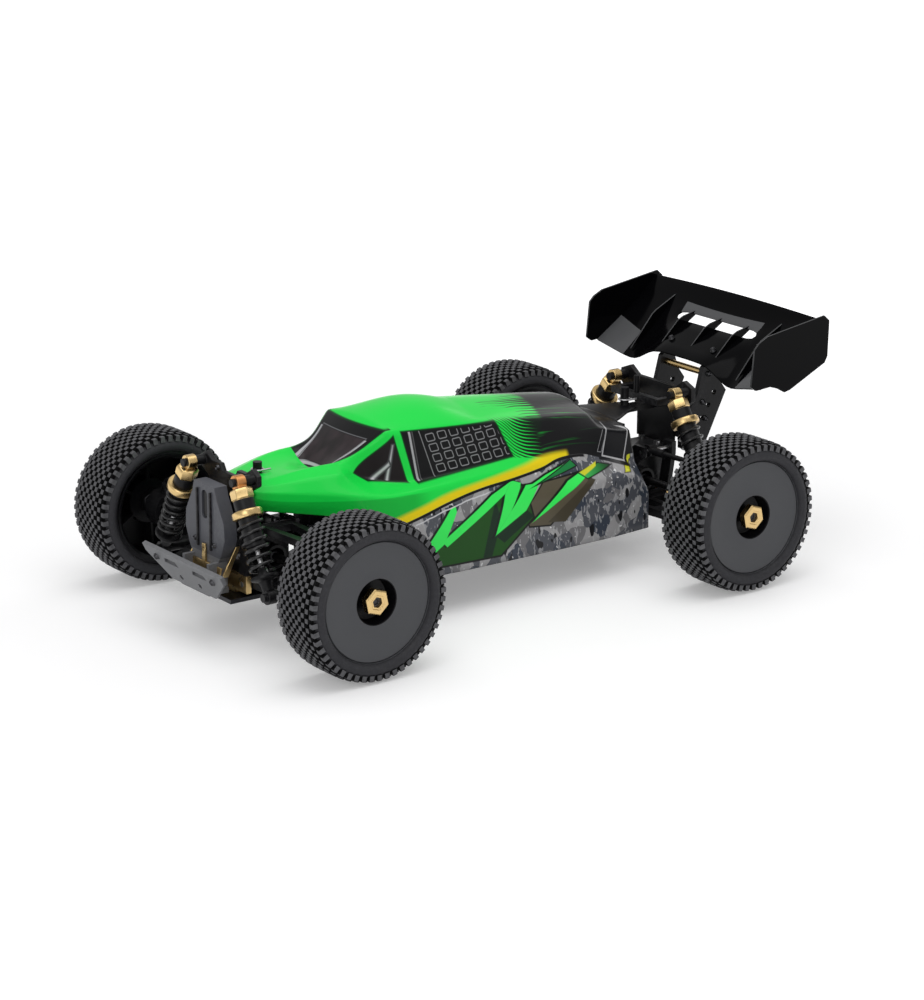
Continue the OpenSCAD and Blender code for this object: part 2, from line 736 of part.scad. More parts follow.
// Tie rod with a ring at each end
module tie_rod(side) {
    inner = tie_in_x;
    ring_r = 5;
    ring_half_t = 1.5;
    lead = 1.2;
    color("#26262a")
        at_corner(front, side)
            translate([0, tie_v, tie_z])
                difference() {
                    union() {
                        bar_x(2, inner + ring_r - 1, tie_out_x - ring_r + 1);
                        bar_x(3, inner + ring_r - 1, inner + ring_r + 12);
                        bar_x(3, tie_out_x - ring_r - 12, tie_out_x - ring_r + 1);
                        translate([inner, 0, 0]) bar_z(ring_r, -ring_half_t, ring_half_t);
                        translate([tie_out_x, -lead, 0]) bar_z(ring_r + 0.4, -ring_half_t, ring_half_t);
                    }
                    translate([inner, 0, 0]) bar_z(tie_stud_d / 2 + 0.8, -3.5, 3.5);
                    translate([tie_out_x, -lead, 0]) bar_z(tie_stud_d / 2 + tie_rod_gap, -3.5, 3.5);
                }
}

// Battery pack in its hard case
module battery_pack() {
    x0 = gear_module * spur_teeth / 2 + 2.5;
    color("#23262b") {
        block([x0, -battery_l / 2, deck_z], [plate_w / 2 - 13, battery_l / 2, deck_z + 25]);
        for (y = [-38, 38])
            block([x0 - 1, y - 8, deck_z + 25.1], [plate_w / 2 - 13, y + 8, deck_z + 26.4]);
    }
}

// Speed controller with its fan, and the receiver box
module electronics() {
    color("#1f2023") {
        block([-plate_w / 2 + 14, spur_y - 90, deck_z], [-12, spur_y - 36, deck_z + 18]);
        for (i = [0:6])
            block([-plate_w / 2 + 17, spur_y - 86 + 7 * i, deck_z + 17],
                  [-15, spur_y - 83 + 7 * i, deck_z + 26]);
        block([14, front_axle_y + 76, deck_z], [46, front_axle_y + 108, deck_z + 20]);
    }
}

// Screw heads, and the two clips that hold the body on its posts
module fasteners() {
    color("silver") {
        for (p = [[front_axle_y, gearbox_front_v], [rear_axle_y, gearbox_rear_v]])
            for (v = [p[1][0] + 5, p[1][1] - 5])
                for (x = [-9, 9])
                    translate([x, p[0] + v, 0]) bar_z(2.6, gearbox_top_z, gearbox_top_z + 2);
        for (x = [-12, 12]) {
            translate([x, front_axle_y, axle_z])
                bar_y(2.4, front_tower_v[0] - 1.8, front_tower_v[0]);
            translate([x, rear_axle_y, axle_z + 10])
                bar_y(2.4, rear_tower_v[1], rear_tower_v[1] + 1.8);
        }
        for (y = [-13.5, 33.5])
            translate([saver_x, front_axle_y + saver_v + y, 0])
                bar_z(2.4, tie_z - 12.2, tie_z - 10.4);
        for (p = [[front_axle_y + 5, 110], [rear_axle_y + 3, 110]])
            translate([0, p[0], p[1]]) {
                rotate_extrude() translate([4.1, 0]) circle(r = 0.7);
                translate([4.1, 0, 0]) bar_y(0.7, 0, 8);
            }
    }
}

// ---------------------------------------------------------------- wheels and uprights

// Wheel: dished rim with its drive socket, and the tyre bonded round it
module wheel(end, side) {
    r_out = wheel_d / 2;
    tread = r_out - rim_r;
    half = wheel_w / 2;
    cup_r = cup_d / 2;
    bore = stub_thread_r + 0.15;
    at_corner(end, side)
        translate([wheel_x, 0, axle_z])
            rotate([0, 90, 0]) {
                color("#303134")
                    difference() {
                        union() {
                            rotate_extrude($fn = 96)
                                polygon([
                                    [bore, cup_floor_u - hub_plate_t], [bore, cup_floor_u],
                                    [cup_r, cup_floor_u], [cup_r, dish_u], [rim_r - 2, dish_u],
                                    [rim_r - 1.2, lip_u], [rim_r, lip_u], [rim_r, lip_u - 4],
                                    [barrel_r, lip_u - 6], [barrel_r, -lip_u + 4],
                                    [rim_r, -lip_u + 2], [rim_r, -lip_u],
                                    [barrel_r - barrel_t, -lip_u], [barrel_r - barrel_t, dish_u - 2.5],
                                    [cup_r + 2, dish_u - 2.5], [cup_r + 2, cup_floor_u - hub_plate_t]
                                ]);
                            translate([0, 0, cup_floor_u - hub_plate_t - hex_t + 2])
                                cylinder(r = hex_af / 2 + 4.5, h = hex_t);
                        }
                        translate([0, 0, cup_floor_u - hub_plate_t - hex_t - 1])
                            cylinder(d = (hex_af + 2 * seat_gap) / cos(30), h = hex_t + 1, $fn = 6);
                        cylinder(r = bore, h = half);
                    }
                color("#1b1b1c")
                    rotate_extrude($fn = 96)
                        polygon([
                            [barrel_r + 0.15, lip_u - 6.5], [rim_r + 0.2, lip_u - 4.3],
                            [rim_r + 0.3, lip_u + 0.5], [rim_r + 0.12 * tread, half - 1.2],
                            [rim_r + 0.4 * tread, half], [rim_r + 0.75 * tread, half - 1],
                            [r_out, half - 4.5], [r_out, -half + 4.5],
                            [rim_r + 0.75 * tread, -half + 1], [rim_r + 0.4 * tread, -half],
                            [rim_r + 0.12 * tread, -half + 1.2], [rim_r + 0.3, -lip_u - 0.5],
                            [rim_r + 0.2, -lip_u + 2.3], [barrel_r + 0.15, -lip_u + 4.5],
                            [barrel_r + 0.15, -lip_u + 7.5], [rim_r + 2, -lip_u + 6],
                            [rim_r + 0.35 * tread, -half + 3], [r_out - 5.5, -half + 5],
                            [r_out - 4, -half + 7], [r_out - 4, half - 7], [r_out - 5.5, half - 5],
                            [rim_r + 0.35 * tread, half - 3], [rim_r + 2, lip_u - 7],
                            [barrel_r + 0.15, lip_u - 9.5]
                        ]);
            }
}

// Stub axle with its joint cup and drive hex, and the wheel nut
module axle(end, side) {
    hex_x = wheel_x + cup_floor_u - hub_plate_t - seat_gap - hex_t + 2;
    nut_x = wheel_x + cup_floor_u + seat_gap;
    at_corner(end, side)
        translate([0, 0, axle_z]) {
            color("silver") {
                difference() {
                    bar_x(9, kingpin_x - 5, kingpin_x + 6.1);
                    bar_x(outdrive_bore_r, kingpin_x - 6, kingpin_x + joint_ball_r + joint_plunge);
                }
                bar_x(axle_d / 2, kingpin_x + 5.6, hex_x + 1);
                hex_bar_x(hex_af, hex_x, hex_x + hex_t - 2);
                bar_x(stub_thread_r, hex_x + 1, nut_x + 6);
            }
            color("goldenrod")
                difference() {
                    union() {
                        hex_bar_x(hex_af, nut_x + 1.5, nut_x + 10);
                        bar_x(11, nut_x, nut_x + 2);
                    }
                    bar_x(stub_thread_r + running_gap, nut_x - 1, nut_x + 11);
                }
        }
}

// Bearing ring round the stub axle
module bearing() {
    difference() {
        bar_x(8, kingpin_x + 7, kingpin_x + 12);
        bar_x(axle_d / 2 + running_gap, kingpin_x + 6, kingpin_x + 13);
    }
}

// Housing that holds the stub axle's bearing
module bearing_housing(x0) {
    difference() {
        bar_x(13.5, x0, kingpin_x + 13.5);
        bar_x(10.2, x0 - 1, kingpin_x + 6.5);
        bar_x(8 + running_gap, kingpin_x + 6, kingpin_x + 12.5);
        bar_x(axle_d / 2 + 1, kingpin_x + 12, kingpin_x + 15);
    }
}

// Steering knuckle with its arm and tie rod stud
module knuckle(side) {
    arm_top = tie_z - 5;
    color("#2b2c30")
        at_corner(front, side) {
            difference() {
                union() {
                    translate([0, 0, axle_z]) bearing_housing(kingpin_x - 2);
                    for (z = [-15.5, 10.5])
                        translate([kingpin_x, 0, axle_z]) bar_z(5.5, z, z + 5);
                }
                translate([0, 0, axle_z]) bar_x(10.2, kingpin_x - 7, kingpin_x + 6.5);
                translate([kingpin_x, 0, axle_z]) bar_z(2 + running_gap, -16, 16);
            }
            translate([0, 0, axle_z]) bearing();
            difference() {
                union() {
                    block([tie_out_x - 3.5, 10, arm_top - 5], [tie_out_x + 4.5, tie_v, arm_top]);
                    translate([tie_out_x, tie_v, 0]) bar_z(4, arm_top - 5, arm_top);
                    translate([tie_out_x, tie_v, 0]) bar_z(tie_stud_d / 2, arm_top - 1, tie_z + 3.4);
                    translate([tie_out_x, tie_v, 0]) bar_z(2.4, tie_z + 3, tie_z + 4.5);
                }
                translate([0, 0, axle_z]) bar_x(10.2, kingpin_x - 7, kingpin_x + 6.5);
            }
        }
}

// Caster block: carries the kingpins, on the outer ends of both front arms
module caster_block(side) {
    web = [arm_out.x - 4, arm_out.x + 1];
    ear = [16, 20];
    color("#202124")
        at_corner(front, side) {
            difference() {
                block([web[0], -11, arm_out.y + 5], [web[1], 11, link_out.y - 8]);
                translate([0, 0, axle_z]) bar_x(10, web[0] - 1, web[1] + 1);
            }
            block([web[0], -5, link_out.y - 9], [web[1], 5, link_out.y - 2]);
            block([web[0], -6, axle_z - ear[1]], [kingpin_x, 6, axle_z - ear[0]]);
            block([web[0], -6, axle_z - ear[0] - 0.5], [web[1], 6, arm_out.y + 6]);
            block([web[0], -5, axle_z + ear[0]], [kingpin_x, 5, axle_z + ear[1]]);
            block([link_out.x + 6, -6, axle_z + ear[0]], [kingpin_x, 6, axle_z + ear[1]]);
            for (s = [-1, 1])
                translate([kingpin_x, 0, axle_z]) {
                    bar_z(6, s > 0 ? ear[0] : -ear[1], s > 0 ? ear[1] : -ear[0]);
                    bar_z(2, s > 0 ? 11 : -ear[0] - 1, s > 0 ? ear[0] + 1 : -11);
                }
            translate([arm_out.x, 0, arm_out.y]) {
                bar_y(4.5, -arm_boss_half_w, arm_boss_half_w);
                bar_y(outer_pin_d / 2, -arm_tip_half_w - 0.6, arm_tip_half_w + 0.6);
            }
            translate([link_out.x, 0, link_out.y]) {
                bar_y(4.2, -5, 5);
                bar_y(link_pin_d / 2, -10.2, 10.2);
            }
        }
}

// Rear hub carrier with its bearing
module hub_carrier(side) {
    link_v = 4;
    color("#202124")
        at_corner(rear, side) {
            translate([0, 0, axle_z]) bearing_housing(kingpin_x - 6);
            translate([0, 0, axle_z]) bearing();
            difference() {
                union() {
                    block([arm_out.x - 4, -6, arm_out.y], [kingpin_x + 6, 6, axle_z - 10]);
                    block([link_out.x - 4, -5.5, axle_z + 10], [kingpin_x + 2, 0, link_out.y]);
                    block([kingpin_x - 6, -9, axle_z - 12], [kingpin_x + 6, 9, axle_z - 8]);
                }
                translate([0, 0, axle_z]) bar_x(10.2, link_out.x - 9, kingpin_x + 6.5);
            }
            translate([arm_out.x, 0, arm_out.y]) {
                bar_y(4.5, -arm_boss_half_w, arm_boss_half_w);
                bar_y(outer_pin_d / 2, -arm_tip_half_w - 0.6, arm_tip_half_w + 0.6);
            }
            translate([link_out.x, 0, link_out.y]) {
                bar_y(4.2, -5.5, 0);
                bar_y(link_pin_d / 2, -1, link_v + 4.2);
                bar_y(3, link_v + 3.6, link_v + 5.2);
            }
        }
}

// ---------------------------------------------------------------- suspension

// Lower arm with its hinge barrels, windows and shock absorber stud
module lower_arm(end, side) {
    z0 = (arm_in.y + arm_out.y) / 2 - arm_t / 2;
    eye = shock_bottom[end];
    dir = end == front ? -1 : 1;
    edge = arm_half_w - (arm_half_w - arm_tip_half_w) * (eye.x - arm_in.x) / arm_len;
    barrel_r_in = hinge_pin_d / 2 + 3;
    tip_r = outer_pin_d / 2 + 3;
    color("#1d1e20")
        at_corner(end, side) {
            difference() {
                union() {
                    translate([0, 0, z0])
                        linear_extrude(arm_t)
                            difference() {
                                polygon([
                                    [arm_in.x, -arm_half_w], [arm_out.x, -arm_tip_half_w],
                                    [arm_out.x, arm_tip_half_w], [arm_in.x, arm_half_w]
                                ]);
                                for (s = [-1, 1])
                                    polygon([
                                        [arm_in.x + 11, s * 2.5], [arm_in.x + 11, s * 14],
                                        [arm_in.x + 31, s * 11.5], [arm_in.x + 31, s * 2.5]
                                    ]);
                                polygon([
                                    [arm_in.x + 37, -8], [arm_in.x + 37, 8],
                                    [arm_in.x + 50, 6], [arm_in.x + 50, -6]
                                ]);
                            }
                    translate([arm_in.x, 0, arm_in.y]) bar_y(barrel_r_in, -arm_half_w, arm_half_w);
                    translate([arm_out.x, 0, arm_out.y]) bar_y(tip_r, -arm_tip_half_w, arm_tip_half_w);
                    translate([eye.x, 0, eye.y])
                        difference() {
                            shock_stud(dir * (edge - 4), shock_v[end], dir);
                            block([-6, -(edge - 4.1), -6], [6, edge - 4.1, 6]);
                        }
                }
                translate([arm_in.x, 0, arm_in.y])
                    bar_y(hinge_pin_d / 2 + running_gap, -arm_half_w - 1, arm_half_w + 1);
                translate([arm_out.x, 0, arm_out.y])
                    bar_y(outer_pin_d / 2 + running_gap, -arm_tip_half_w - 1, arm_tip_half_w + 1);
                block([arm_out.x - 10, -arm_boss_half_w - 0.4, z0 - 3],
                      [arm_out.x + 8, arm_boss_half_w + 0.4, z0 + arm_t + 4]);
            }
        }
}

// Front upper arm
module upper_arm_front(side) {
    v = [-13.5, 12];
    t = 5;
    z0 = (link_in.y + link_out.y) / 2 - t / 2;
    fork = [5.6, 9.6];
    color("#1d1e20")
        at_corner(front, side)
            difference() {
                union() {
                    translate([0, 0, z0])
                        linear_extrude(t)
                            difference() {
                                polygon([
                                    [link_in.x, v[0]], [link_out.x, -fork[1]],
                                    [link_out.x, fork[1]], [link_in.x, v[1]]
                                ]);
                                polygon([
                                    [link_in.x + 9, v[0] + 5], [link_in.x + 46, -4.5],
                                    [link_in.x + 46, 4.5], [link_in.x + 9, v[1] - 5]
                                ]);
                            }
                    translate([link_in.x, 0, link_in.y]) bar_y(3.8, v[0], v[1]);
                    translate([link_out.x, 0, link_out.y]) bar_y(4.4, -fork[1], fork[1]);
                }
                translate([link_in.x, 0, link_in.y])
                    bar_y(link_pin_d / 2 + running_gap, v[0] - 1, v[1] + 1);
                translate([link_out.x, 0, link_out.y])
                    bar_y(link_pin_d / 2 + open_pivot_gap, -fork[1] - 1, fork[1] + 1);
                block([link_out.x - 9, -fork[0], z0 - 3], [link_out.x + 6, fork[0], z0 + t + 3]);
            }
}

// Rear upper link: a rod with an eye at each end
module upper_link_rear(side) {
    link_v = 4;
    len_x = link_out.x - link_in.x;
    rise = atan2(link_out.y - link_in.y, len_x);
    len = len_x / cos(rise);
    color("#6a6b70")
        at_corner(rear, side)
            translate([link_in.x, link_v, link_in.y])
                rotate([0, -rise, 0])
                    difference() {
                        union() {
                            bar_x(2, 3, len - 3);
                            bar_x(3, 3, 16);
                            bar_x(3, len - 16, len - 3);
                            bar_y(4.6, -3.3, 3.3);
                            translate([len, 0, 0]) bar_y(4.8, -3.3, 3.3);
                        }
                        bar_y(link_pin_d / 2 + running_gap, -4, 4);
                        translate([len, 0, 0]) bar_y(link_pin_d / 2 + open_pivot_gap, -4, 4);
                    }
}

function shock_len(end) = norm(shock_bottom[end] - shock_top[end]);

// Turns +Z down a shock absorber's axis, from its top eye
module along_shock(end) {
    d = shock_bottom[end] - shock_top[end];
    translate([shock_top[end].x, shock_v[end], shock_top[end].y])
        rotate([0, atan2(d.x, d.y), 0])
            children();
}

// Shock absorber body: cap with its eye, hollow cylinder and spring collar
module shock_body(end, side) {
    body_end = shock_len(end) - shock_body_short;
    r = shock_d / 2;
    at_corner(end, side)
        along_shock(end) {
            color("goldenrod") {
                difference() {
                    union() {
                        bar_y(shock_eye_r, -shock_eye_t / 2, shock_eye_t / 2);
                        block([-4, -shock_eye_t / 2, 0], [4, shock_eye_t / 2, 6]);
                        bar_z(r + 1, 5, 13.5);
                    }
                    bar_y(shock_stud_d / 2 + running_gap, -shock_eye_t, shock_eye_t);
                }
                difference() {
                    bar_z(spring_d / 2 + 1, collar_s, collar_s + collar_t);
                    bar_z(r + running_gap, collar_s - 1, collar_s + collar_t + 1);
                }
            }
            color("#1a1a1c")
                difference() {
                    bar_z(r, 13.6, body_end);
                    bar_z(r - 1.3, 16, body_end - 3);
                    bar_z(shock_shaft_d / 2 + running_gap, body_end - 4, body_end + 1);
                }
        }
}

// Shock absorber shaft with its piston, spring cup and lower eye
module shock_shaft(end, side) {
    len = shock_len(end);
    piston_s = len - shock_body_short - (end == front ? 15 : 17.5);
    color("silver")
        at_corner(end, side)
            along_shock(end) {
                bar_z(shock_shaft_d / 2, piston_s, len - 7);
                bar_z(shock_d / 2 - 1.3 - 2 * running_gap, piston_s, piston_s + 2);
                bar_z(spring_d / 2, len - spring_seat_s, len - spring_seat_s + 2.5);
                bar_z(4, len - spring_seat_s + 2, len - 4);
                difference() {
                    translate([0, 0, len]) bar_y(shock_eye_r, -shock_eye_t / 2, shock_eye_t / 2);
                    translate([0, 0, len])
                        bar_y(shock_stud_d / 2 + open_pivot_gap, -shock_eye_t, shock_eye_t);
                }
            }
}

// Coil spring between the collar and the spring cup
module spring(end, side) {
    turns = 6.5;
    steps = 16;
    sides = 6;
    low = collar_s + collar_t + spring_wire_d / 2 + 0.2;
    high = shock_len(end) - spring_seat_s - spring_wire_d / 2 - 0.2;
    r = (spring_d - spring_wire_d) / 2;
    count = floor(turns * steps);
    function centre(i) = [r * cos(360 * i / steps), r * sin(360 * i / steps),
                          low + (high - low) * i / count];
    points = [for (i = [0:count]) for (k = [0:sides - 1])
        let (c = centre(i), a = 360 * i / steps, b = 360 * k / sides, w = spring_wire_d / 2)
        c + w * [cos(b) * cos(a), cos(b) * sin(a), -sin(b)]];
    faces = concat(
        [[for (k = [0:sides - 1]) k]],
        [for (i = [0:count - 1]) for (k = [0:sides - 1]) each [
            [i * sides + k, (i + 1) * sides + k, (i + 1) * sides + (k + 1) % sides],
            [i * sides + k, (i + 1) * sides + (k + 1) % sides, i * sides + (k + 1) % sides]]],
        [[for (k = [sides - 1:-1:0]) count * sides + k]]);
    color("#161618")
        at_corner(end, side)
            along_shock(end)
                polyhedron(points = points, faces = faces, convexity = 10);
}

// Driveshaft from a gearbox cup to a stub axle's cup, with a ball and pin at each end
module driveshaft(end, side) {
    color("#8a8b90")
        at_corner(end, side)
            translate([0, 0, axle_z]) {
                bar_x(driveshaft_d / 2, outdrive_x, kingpin_x);
                for (x = [outdrive_x, kingpin_x])
                    translate([x, 0, 0]) {
                        sphere(r = joint_ball_r);
                        bar_y(1.2, -outdrive_bore_r + 0.6, outdrive_bore_r - 0.6);
                    }
            }
}

chassis_plate();
chassis_braces();
front_bumper();
front_gearbox();
rear_gearbox();
front_shock_tower();
rear_shock_tower();
hinge_holders();
body_shell();
rear_wing();
wing_mount();
motor();
motor_pinion();
centre_diff();
steering_servo();
servo_saver();
drag_link();
tie_rod(left);  // tie_rod_left
tie_rod(right);  // tie_rod_right
battery_pack();
electronics();
fasteners();
wheel(front, left);  // wheel_front_left
wheel(front, right);  // wheel_front_right
wheel(rear, left);  // wheel_rear_left
wheel(rear, right);  // wheel_rear_right
axle(front, left);  // axle_front_left
axle(front, right);  // axle_front_right
axle(rear, left);  // axle_rear_left
axle(rear, right);  // axle_rear_right
lower_arm(front, left);  // lower_arm_front_left
lower_arm(front, right);  // lower_arm_front_right
lower_arm(rear, left);  // lower_arm_rear_left
lower_arm(rear, right);  // lower_arm_rear_right
upper_arm_front(left);  // upper_arm_front_left
upper_arm_front(right);  // upper_arm_front_right
upper_link_rear(left);  // upper_link_rear_left
upper_link_rear(right);  // upper_link_rear_right
caster_block(left);  // caster_block_left
caster_block(right);  // caster_block_right
knuckle(left);  // knuckle_left
knuckle(right);  // knuckle_right
hub_carrier(left);  // hub_carrier_left
hub_carrier(right);  // hub_carrier_right
shock_body(front, left);  // shock_body_front_left
shock_body(front, right);  // shock_body_front_right
shock_body(rear, left);  // shock_body_rear_left
shock_body(rear, right);  // shock_body_rear_right
shock_shaft(front, left);  // shock_shaft_front_left
shock_shaft(front, right);  // shock_shaft_front_right
shock_shaft(rear, left);  // shock_shaft_rear_left
shock_shaft(rear, right);  // shock_shaft_rear_right
spring(front, left);  // spring_front_left
spring(front, right);  // spring_front_right
spring(rear, left);  // spring_rear_left
spring(rear, right);  // spring_rear_right
driveshaft(front, left);  // driveshaft_front_left
driveshaft(front, right);  // driveshaft_front_right
driveshaft(rear, left);  // driveshaft_rear_left
driveshaft(rear, right);  // driveshaft_rear_right
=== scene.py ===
"""Looks of a one eighth scale off-road model buggy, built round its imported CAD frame."""

import json
import math

import bmesh
import bpy
from mathutils import Matrix, Vector


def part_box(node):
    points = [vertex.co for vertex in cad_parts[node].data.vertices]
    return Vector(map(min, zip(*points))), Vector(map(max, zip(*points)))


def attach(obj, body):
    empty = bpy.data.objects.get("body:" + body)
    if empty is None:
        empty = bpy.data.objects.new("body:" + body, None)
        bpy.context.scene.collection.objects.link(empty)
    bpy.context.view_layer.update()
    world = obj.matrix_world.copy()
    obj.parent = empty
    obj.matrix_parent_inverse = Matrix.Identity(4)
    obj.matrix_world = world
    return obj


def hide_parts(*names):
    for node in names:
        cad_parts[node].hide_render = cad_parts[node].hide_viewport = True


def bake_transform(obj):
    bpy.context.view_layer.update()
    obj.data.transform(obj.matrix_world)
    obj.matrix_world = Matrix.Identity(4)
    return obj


bl_info = {
    "name": "Off-road model buggy",
    "version": (1, 0, 0),
    "blender": (4, 5, 0),
    "location": "View3D > Sidebar > Buggy",
    "description": "Painted shell, pin tyres, shock absorbers, wing and fittings of a model buggy",
    "category": "Object",
}

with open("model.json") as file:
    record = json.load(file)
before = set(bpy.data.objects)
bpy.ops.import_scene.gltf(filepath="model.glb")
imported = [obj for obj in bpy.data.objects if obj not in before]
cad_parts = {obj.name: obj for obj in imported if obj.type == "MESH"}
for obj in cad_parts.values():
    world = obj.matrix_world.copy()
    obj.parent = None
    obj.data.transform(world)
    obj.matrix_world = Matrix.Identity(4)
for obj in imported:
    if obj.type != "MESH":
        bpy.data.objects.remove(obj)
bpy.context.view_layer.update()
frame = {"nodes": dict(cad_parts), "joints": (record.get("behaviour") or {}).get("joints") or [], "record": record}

MM = 0.001
SIDES = (("left", 1), ("right", -1))
ENDS = ("front", "rear")


def middle(node):
    """Middle of a CAD node's box, in millimetres."""
    low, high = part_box(node)
    return (low + high) / 2 / MM


# The car frame used below: x to the car's left, y rearwards from mid wheelbase, z up, in mm
FRONT_WHEEL, REAR_WHEEL = middle("wheel_front_left"), middle("wheel_rear_left")
MID_Y = (FRONT_WHEEL.y + REAR_WHEEL.y) / 2
AXLE_Y = {"front": FRONT_WHEEL.y - MID_Y, "rear": REAR_WHEEL.y - MID_Y}
AXLE_Z = FRONT_WHEEL.z
WHEEL_X = FRONT_WHEEL.x
WHEEL_R = (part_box("wheel_front_left")[1].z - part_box("wheel_front_left")[0].z) / 2 / MM


# ------------------------------------------------------------------ settings


def length(name, text, default):
    """A length property, shown in the scene's units."""
    return bpy.props.FloatProperty(
        name=name, description=text, default=default * MM, unit="LENGTH", subtype="DISTANCE"
    )


def colour(name, text, default):
    """A colour property."""
    return bpy.props.FloatVectorProperty(
        name=name, description=text, default=default, size=3, subtype="COLOR", min=0, max=1
    )


class BuggyPaint(bpy.types.PropertyGroup):
    green: colour("Green", "Main colour of the shell", (0.010, 0.76, 0.075))
    deep_green: colour("Deep green", "Shaded green behind the claws", (0.009, 0.070, 0.006))
    yellow: colour("Yellow", "Stripe along the flank", (0.80, 0.62, 0.004))
    camo_light: colour("Light grey", "Lightest facet of the flank", (0.34, 0.335, 0.34))
    camo_dark: colour("Slate", "Darkest facet of the flank", (0.045, 0.055, 0.075))
    olive: colour("Olive", "Brown facets behind the claws", (0.10, 0.085, 0.055))


class BuggyTyre(bpy.types.PropertyGroup):
    pin_height: length("Pin height", "Height of a tread pin above the carcass", 3.6)
    pin_size: length("Pin size", "Width of a tread pin at its foot", 3.7)
    pins: bpy.props.IntProperty(
        name="Pins", description="Tread pins in one turn of the tyre", default=52, min=12
    )
    rows: bpy.props.IntProperty(
        name="Rows", description="Rows of pins across the tread", default=12, min=3
    )


class BuggySpring(bpy.types.PropertyGroup):
    wire: length("Wire", "Diameter of the spring wire", 2.6)
    turns: bpy.props.FloatProperty(
        name="Turns", description="Turns of a spring", default=6.5, min=2
    )


# ------------------------------------------------------------------ shader maths


class Field:
    """A number that changes over a surface, held as the shader socket that gives it."""

    def __init__(self, tree, socket):
        self.tree, self.socket = tree, socket

    def run(self, operation, *others):
        """One Math node on this number and the others."""
        node = self.tree.nodes.new("ShaderNodeMath")
        node.operation = operation
        for slot, value in zip(node.inputs, (self, *others)):
            feed(self.tree, slot, value)
        return Field(self.tree, node.outputs[0])

    def __add__(self, other):
        return self.run("ADD", other)

    def __sub__(self, other):
        return self.run("SUBTRACT", other)

    def __mul__(self, other):
        return self.run("MULTIPLY", other)

    def __rsub__(self, other):
        return (self * -1) + other

    def low(self, other):
        """The smaller of the two."""
        return self.run("MINIMUM", other)

    def high(self, other):
        """The larger of the two."""
        return self.run("MAXIMUM", other)

    def ramp(self, start, end, low=0.0, high=1.0):
        """Smoothly from low at start to high at end."""
        node = self.tree.nodes.new("ShaderNodeMapRange")
        node.interpolation_type = "SMOOTHSTEP"
        for slot, value in zip(node.inputs, (self, start, end, low, high)):
            feed(self.tree, slot, value)
        return Field(self.tree, node.outputs[0])

    def edge(self, width=0.25):
        """Mask that is 1 where this distance is above 0, with a soft edge in millimetres."""
        return self.ramp(-width, width)

    def line(self, width, soft=0.2):
        """Mask of a line of that width where this distance is 0."""
        return (width / 2 - self.run("ABSOLUTE")).ramp(-soft, soft)


def feed(tree, slot, value):
    """Puts a field, a socket or a plain value into a node's socket."""
    if isinstance(value, Field):
        value = value.socket
    if isinstance(value, bpy.types.NodeSocket):
        tree.links.new(value, slot)
    else:
        slot.default_value = value


def place_mm(tree):
    """Millimetres in the car frame as three fields, and the vector they come from."""
    coords = tree.nodes.new("ShaderNodeTexCoord")
    mapping = tree.nodes.new("ShaderNodeMapping")
    mapping.inputs["Scale"].default_value = (1 / MM,) * 3
    mapping.inputs["Location"].default_value = (0, -MID_Y, 0)
    tree.links.new(coords.outputs["Object"], mapping.inputs["Vector"])
    split = tree.nodes.new("ShaderNodeSeparateXYZ")
    tree.links.new(mapping.outputs[0], split.inputs[0])
    return [Field(tree, s) for s in split.outputs], mapping.outputs[0]


def mixed(tree, under, over, mask):
    """The colour over laid on the colour under where the mask is 1."""
    node = tree.nodes.new("ShaderNodeMix")
    node.data_type = "RGBA"
    feed(tree, node.inputs["Factor"], mask)
    feed(tree, node.inputs["A"], under if not isinstance(under, tuple) else (*under, 1)[:4])
    feed(tree, node.inputs["B"], over if not isinstance(over, tuple) else (*over, 1)[:4])
    return node.outputs["Result"]


def noise(tree, vector, scale, detail=3.0, rough=0.5, stretch=None):
    """Noise from 0 to 1; scale counts features in a millimetre when the vector is in mm."""
    if stretch:
        mapping = tree.nodes.new("ShaderNodeMapping")
        mapping.inputs["Scale"].default_value = stretch
        tree.links.new(vector, mapping.inputs["Vector"])
        vector = mapping.outputs[0]
    node = tree.nodes.new("ShaderNodeTexNoise")
    node.inputs["Scale"].default_value = scale
    node.inputs["Detail"].default_value = detail
    node.inputs["Roughness"].default_value = rough
    tree.links.new(vector, node.inputs["Vector"])
    return Field(tree, node.outputs["Fac"])


def polygon(tree, flat, corners):
    """Distance in mm inside a convex outline; flat is the vector (a, b, 1) of the surface."""
    sides = list(zip(corners, corners[1:] + corners[:1]))
    sign = 1 if sum(a0 * b1 - a1 * b0 for (a0, b0), (a1, b1) in sides) > 0 else -1
    inside = None
    for (a0, b0), (a1, b1) in sides:
        size = math.hypot(a1 - a0, b1 - b0)
        normal = (-(b1 - b0) / size * sign, (a1 - a0) / size * sign)
        node = tree.nodes.new("ShaderNodeVectorMath")
        node.operation = "DOT_PRODUCT"
        tree.links.new(flat, node.inputs[0])
        node.inputs[1].default_value = (*normal, -(a0 * normal[0] + b0 * normal[1]))
        side = Field(tree, node.outputs["Value"])
        inside = side if inside is None else inside.low(side)
    return inside


def flat_vector(a, b):
    """The vector (a, b, 1) that polygon() measures in."""
    node = a.tree.nodes.new("ShaderNodeCombineXYZ")
    feed(a.tree, node.inputs[0], a)
    feed(a.tree, node.inputs[1], b)
    node.inputs[2].default_value = 1
    return node.outputs[0]


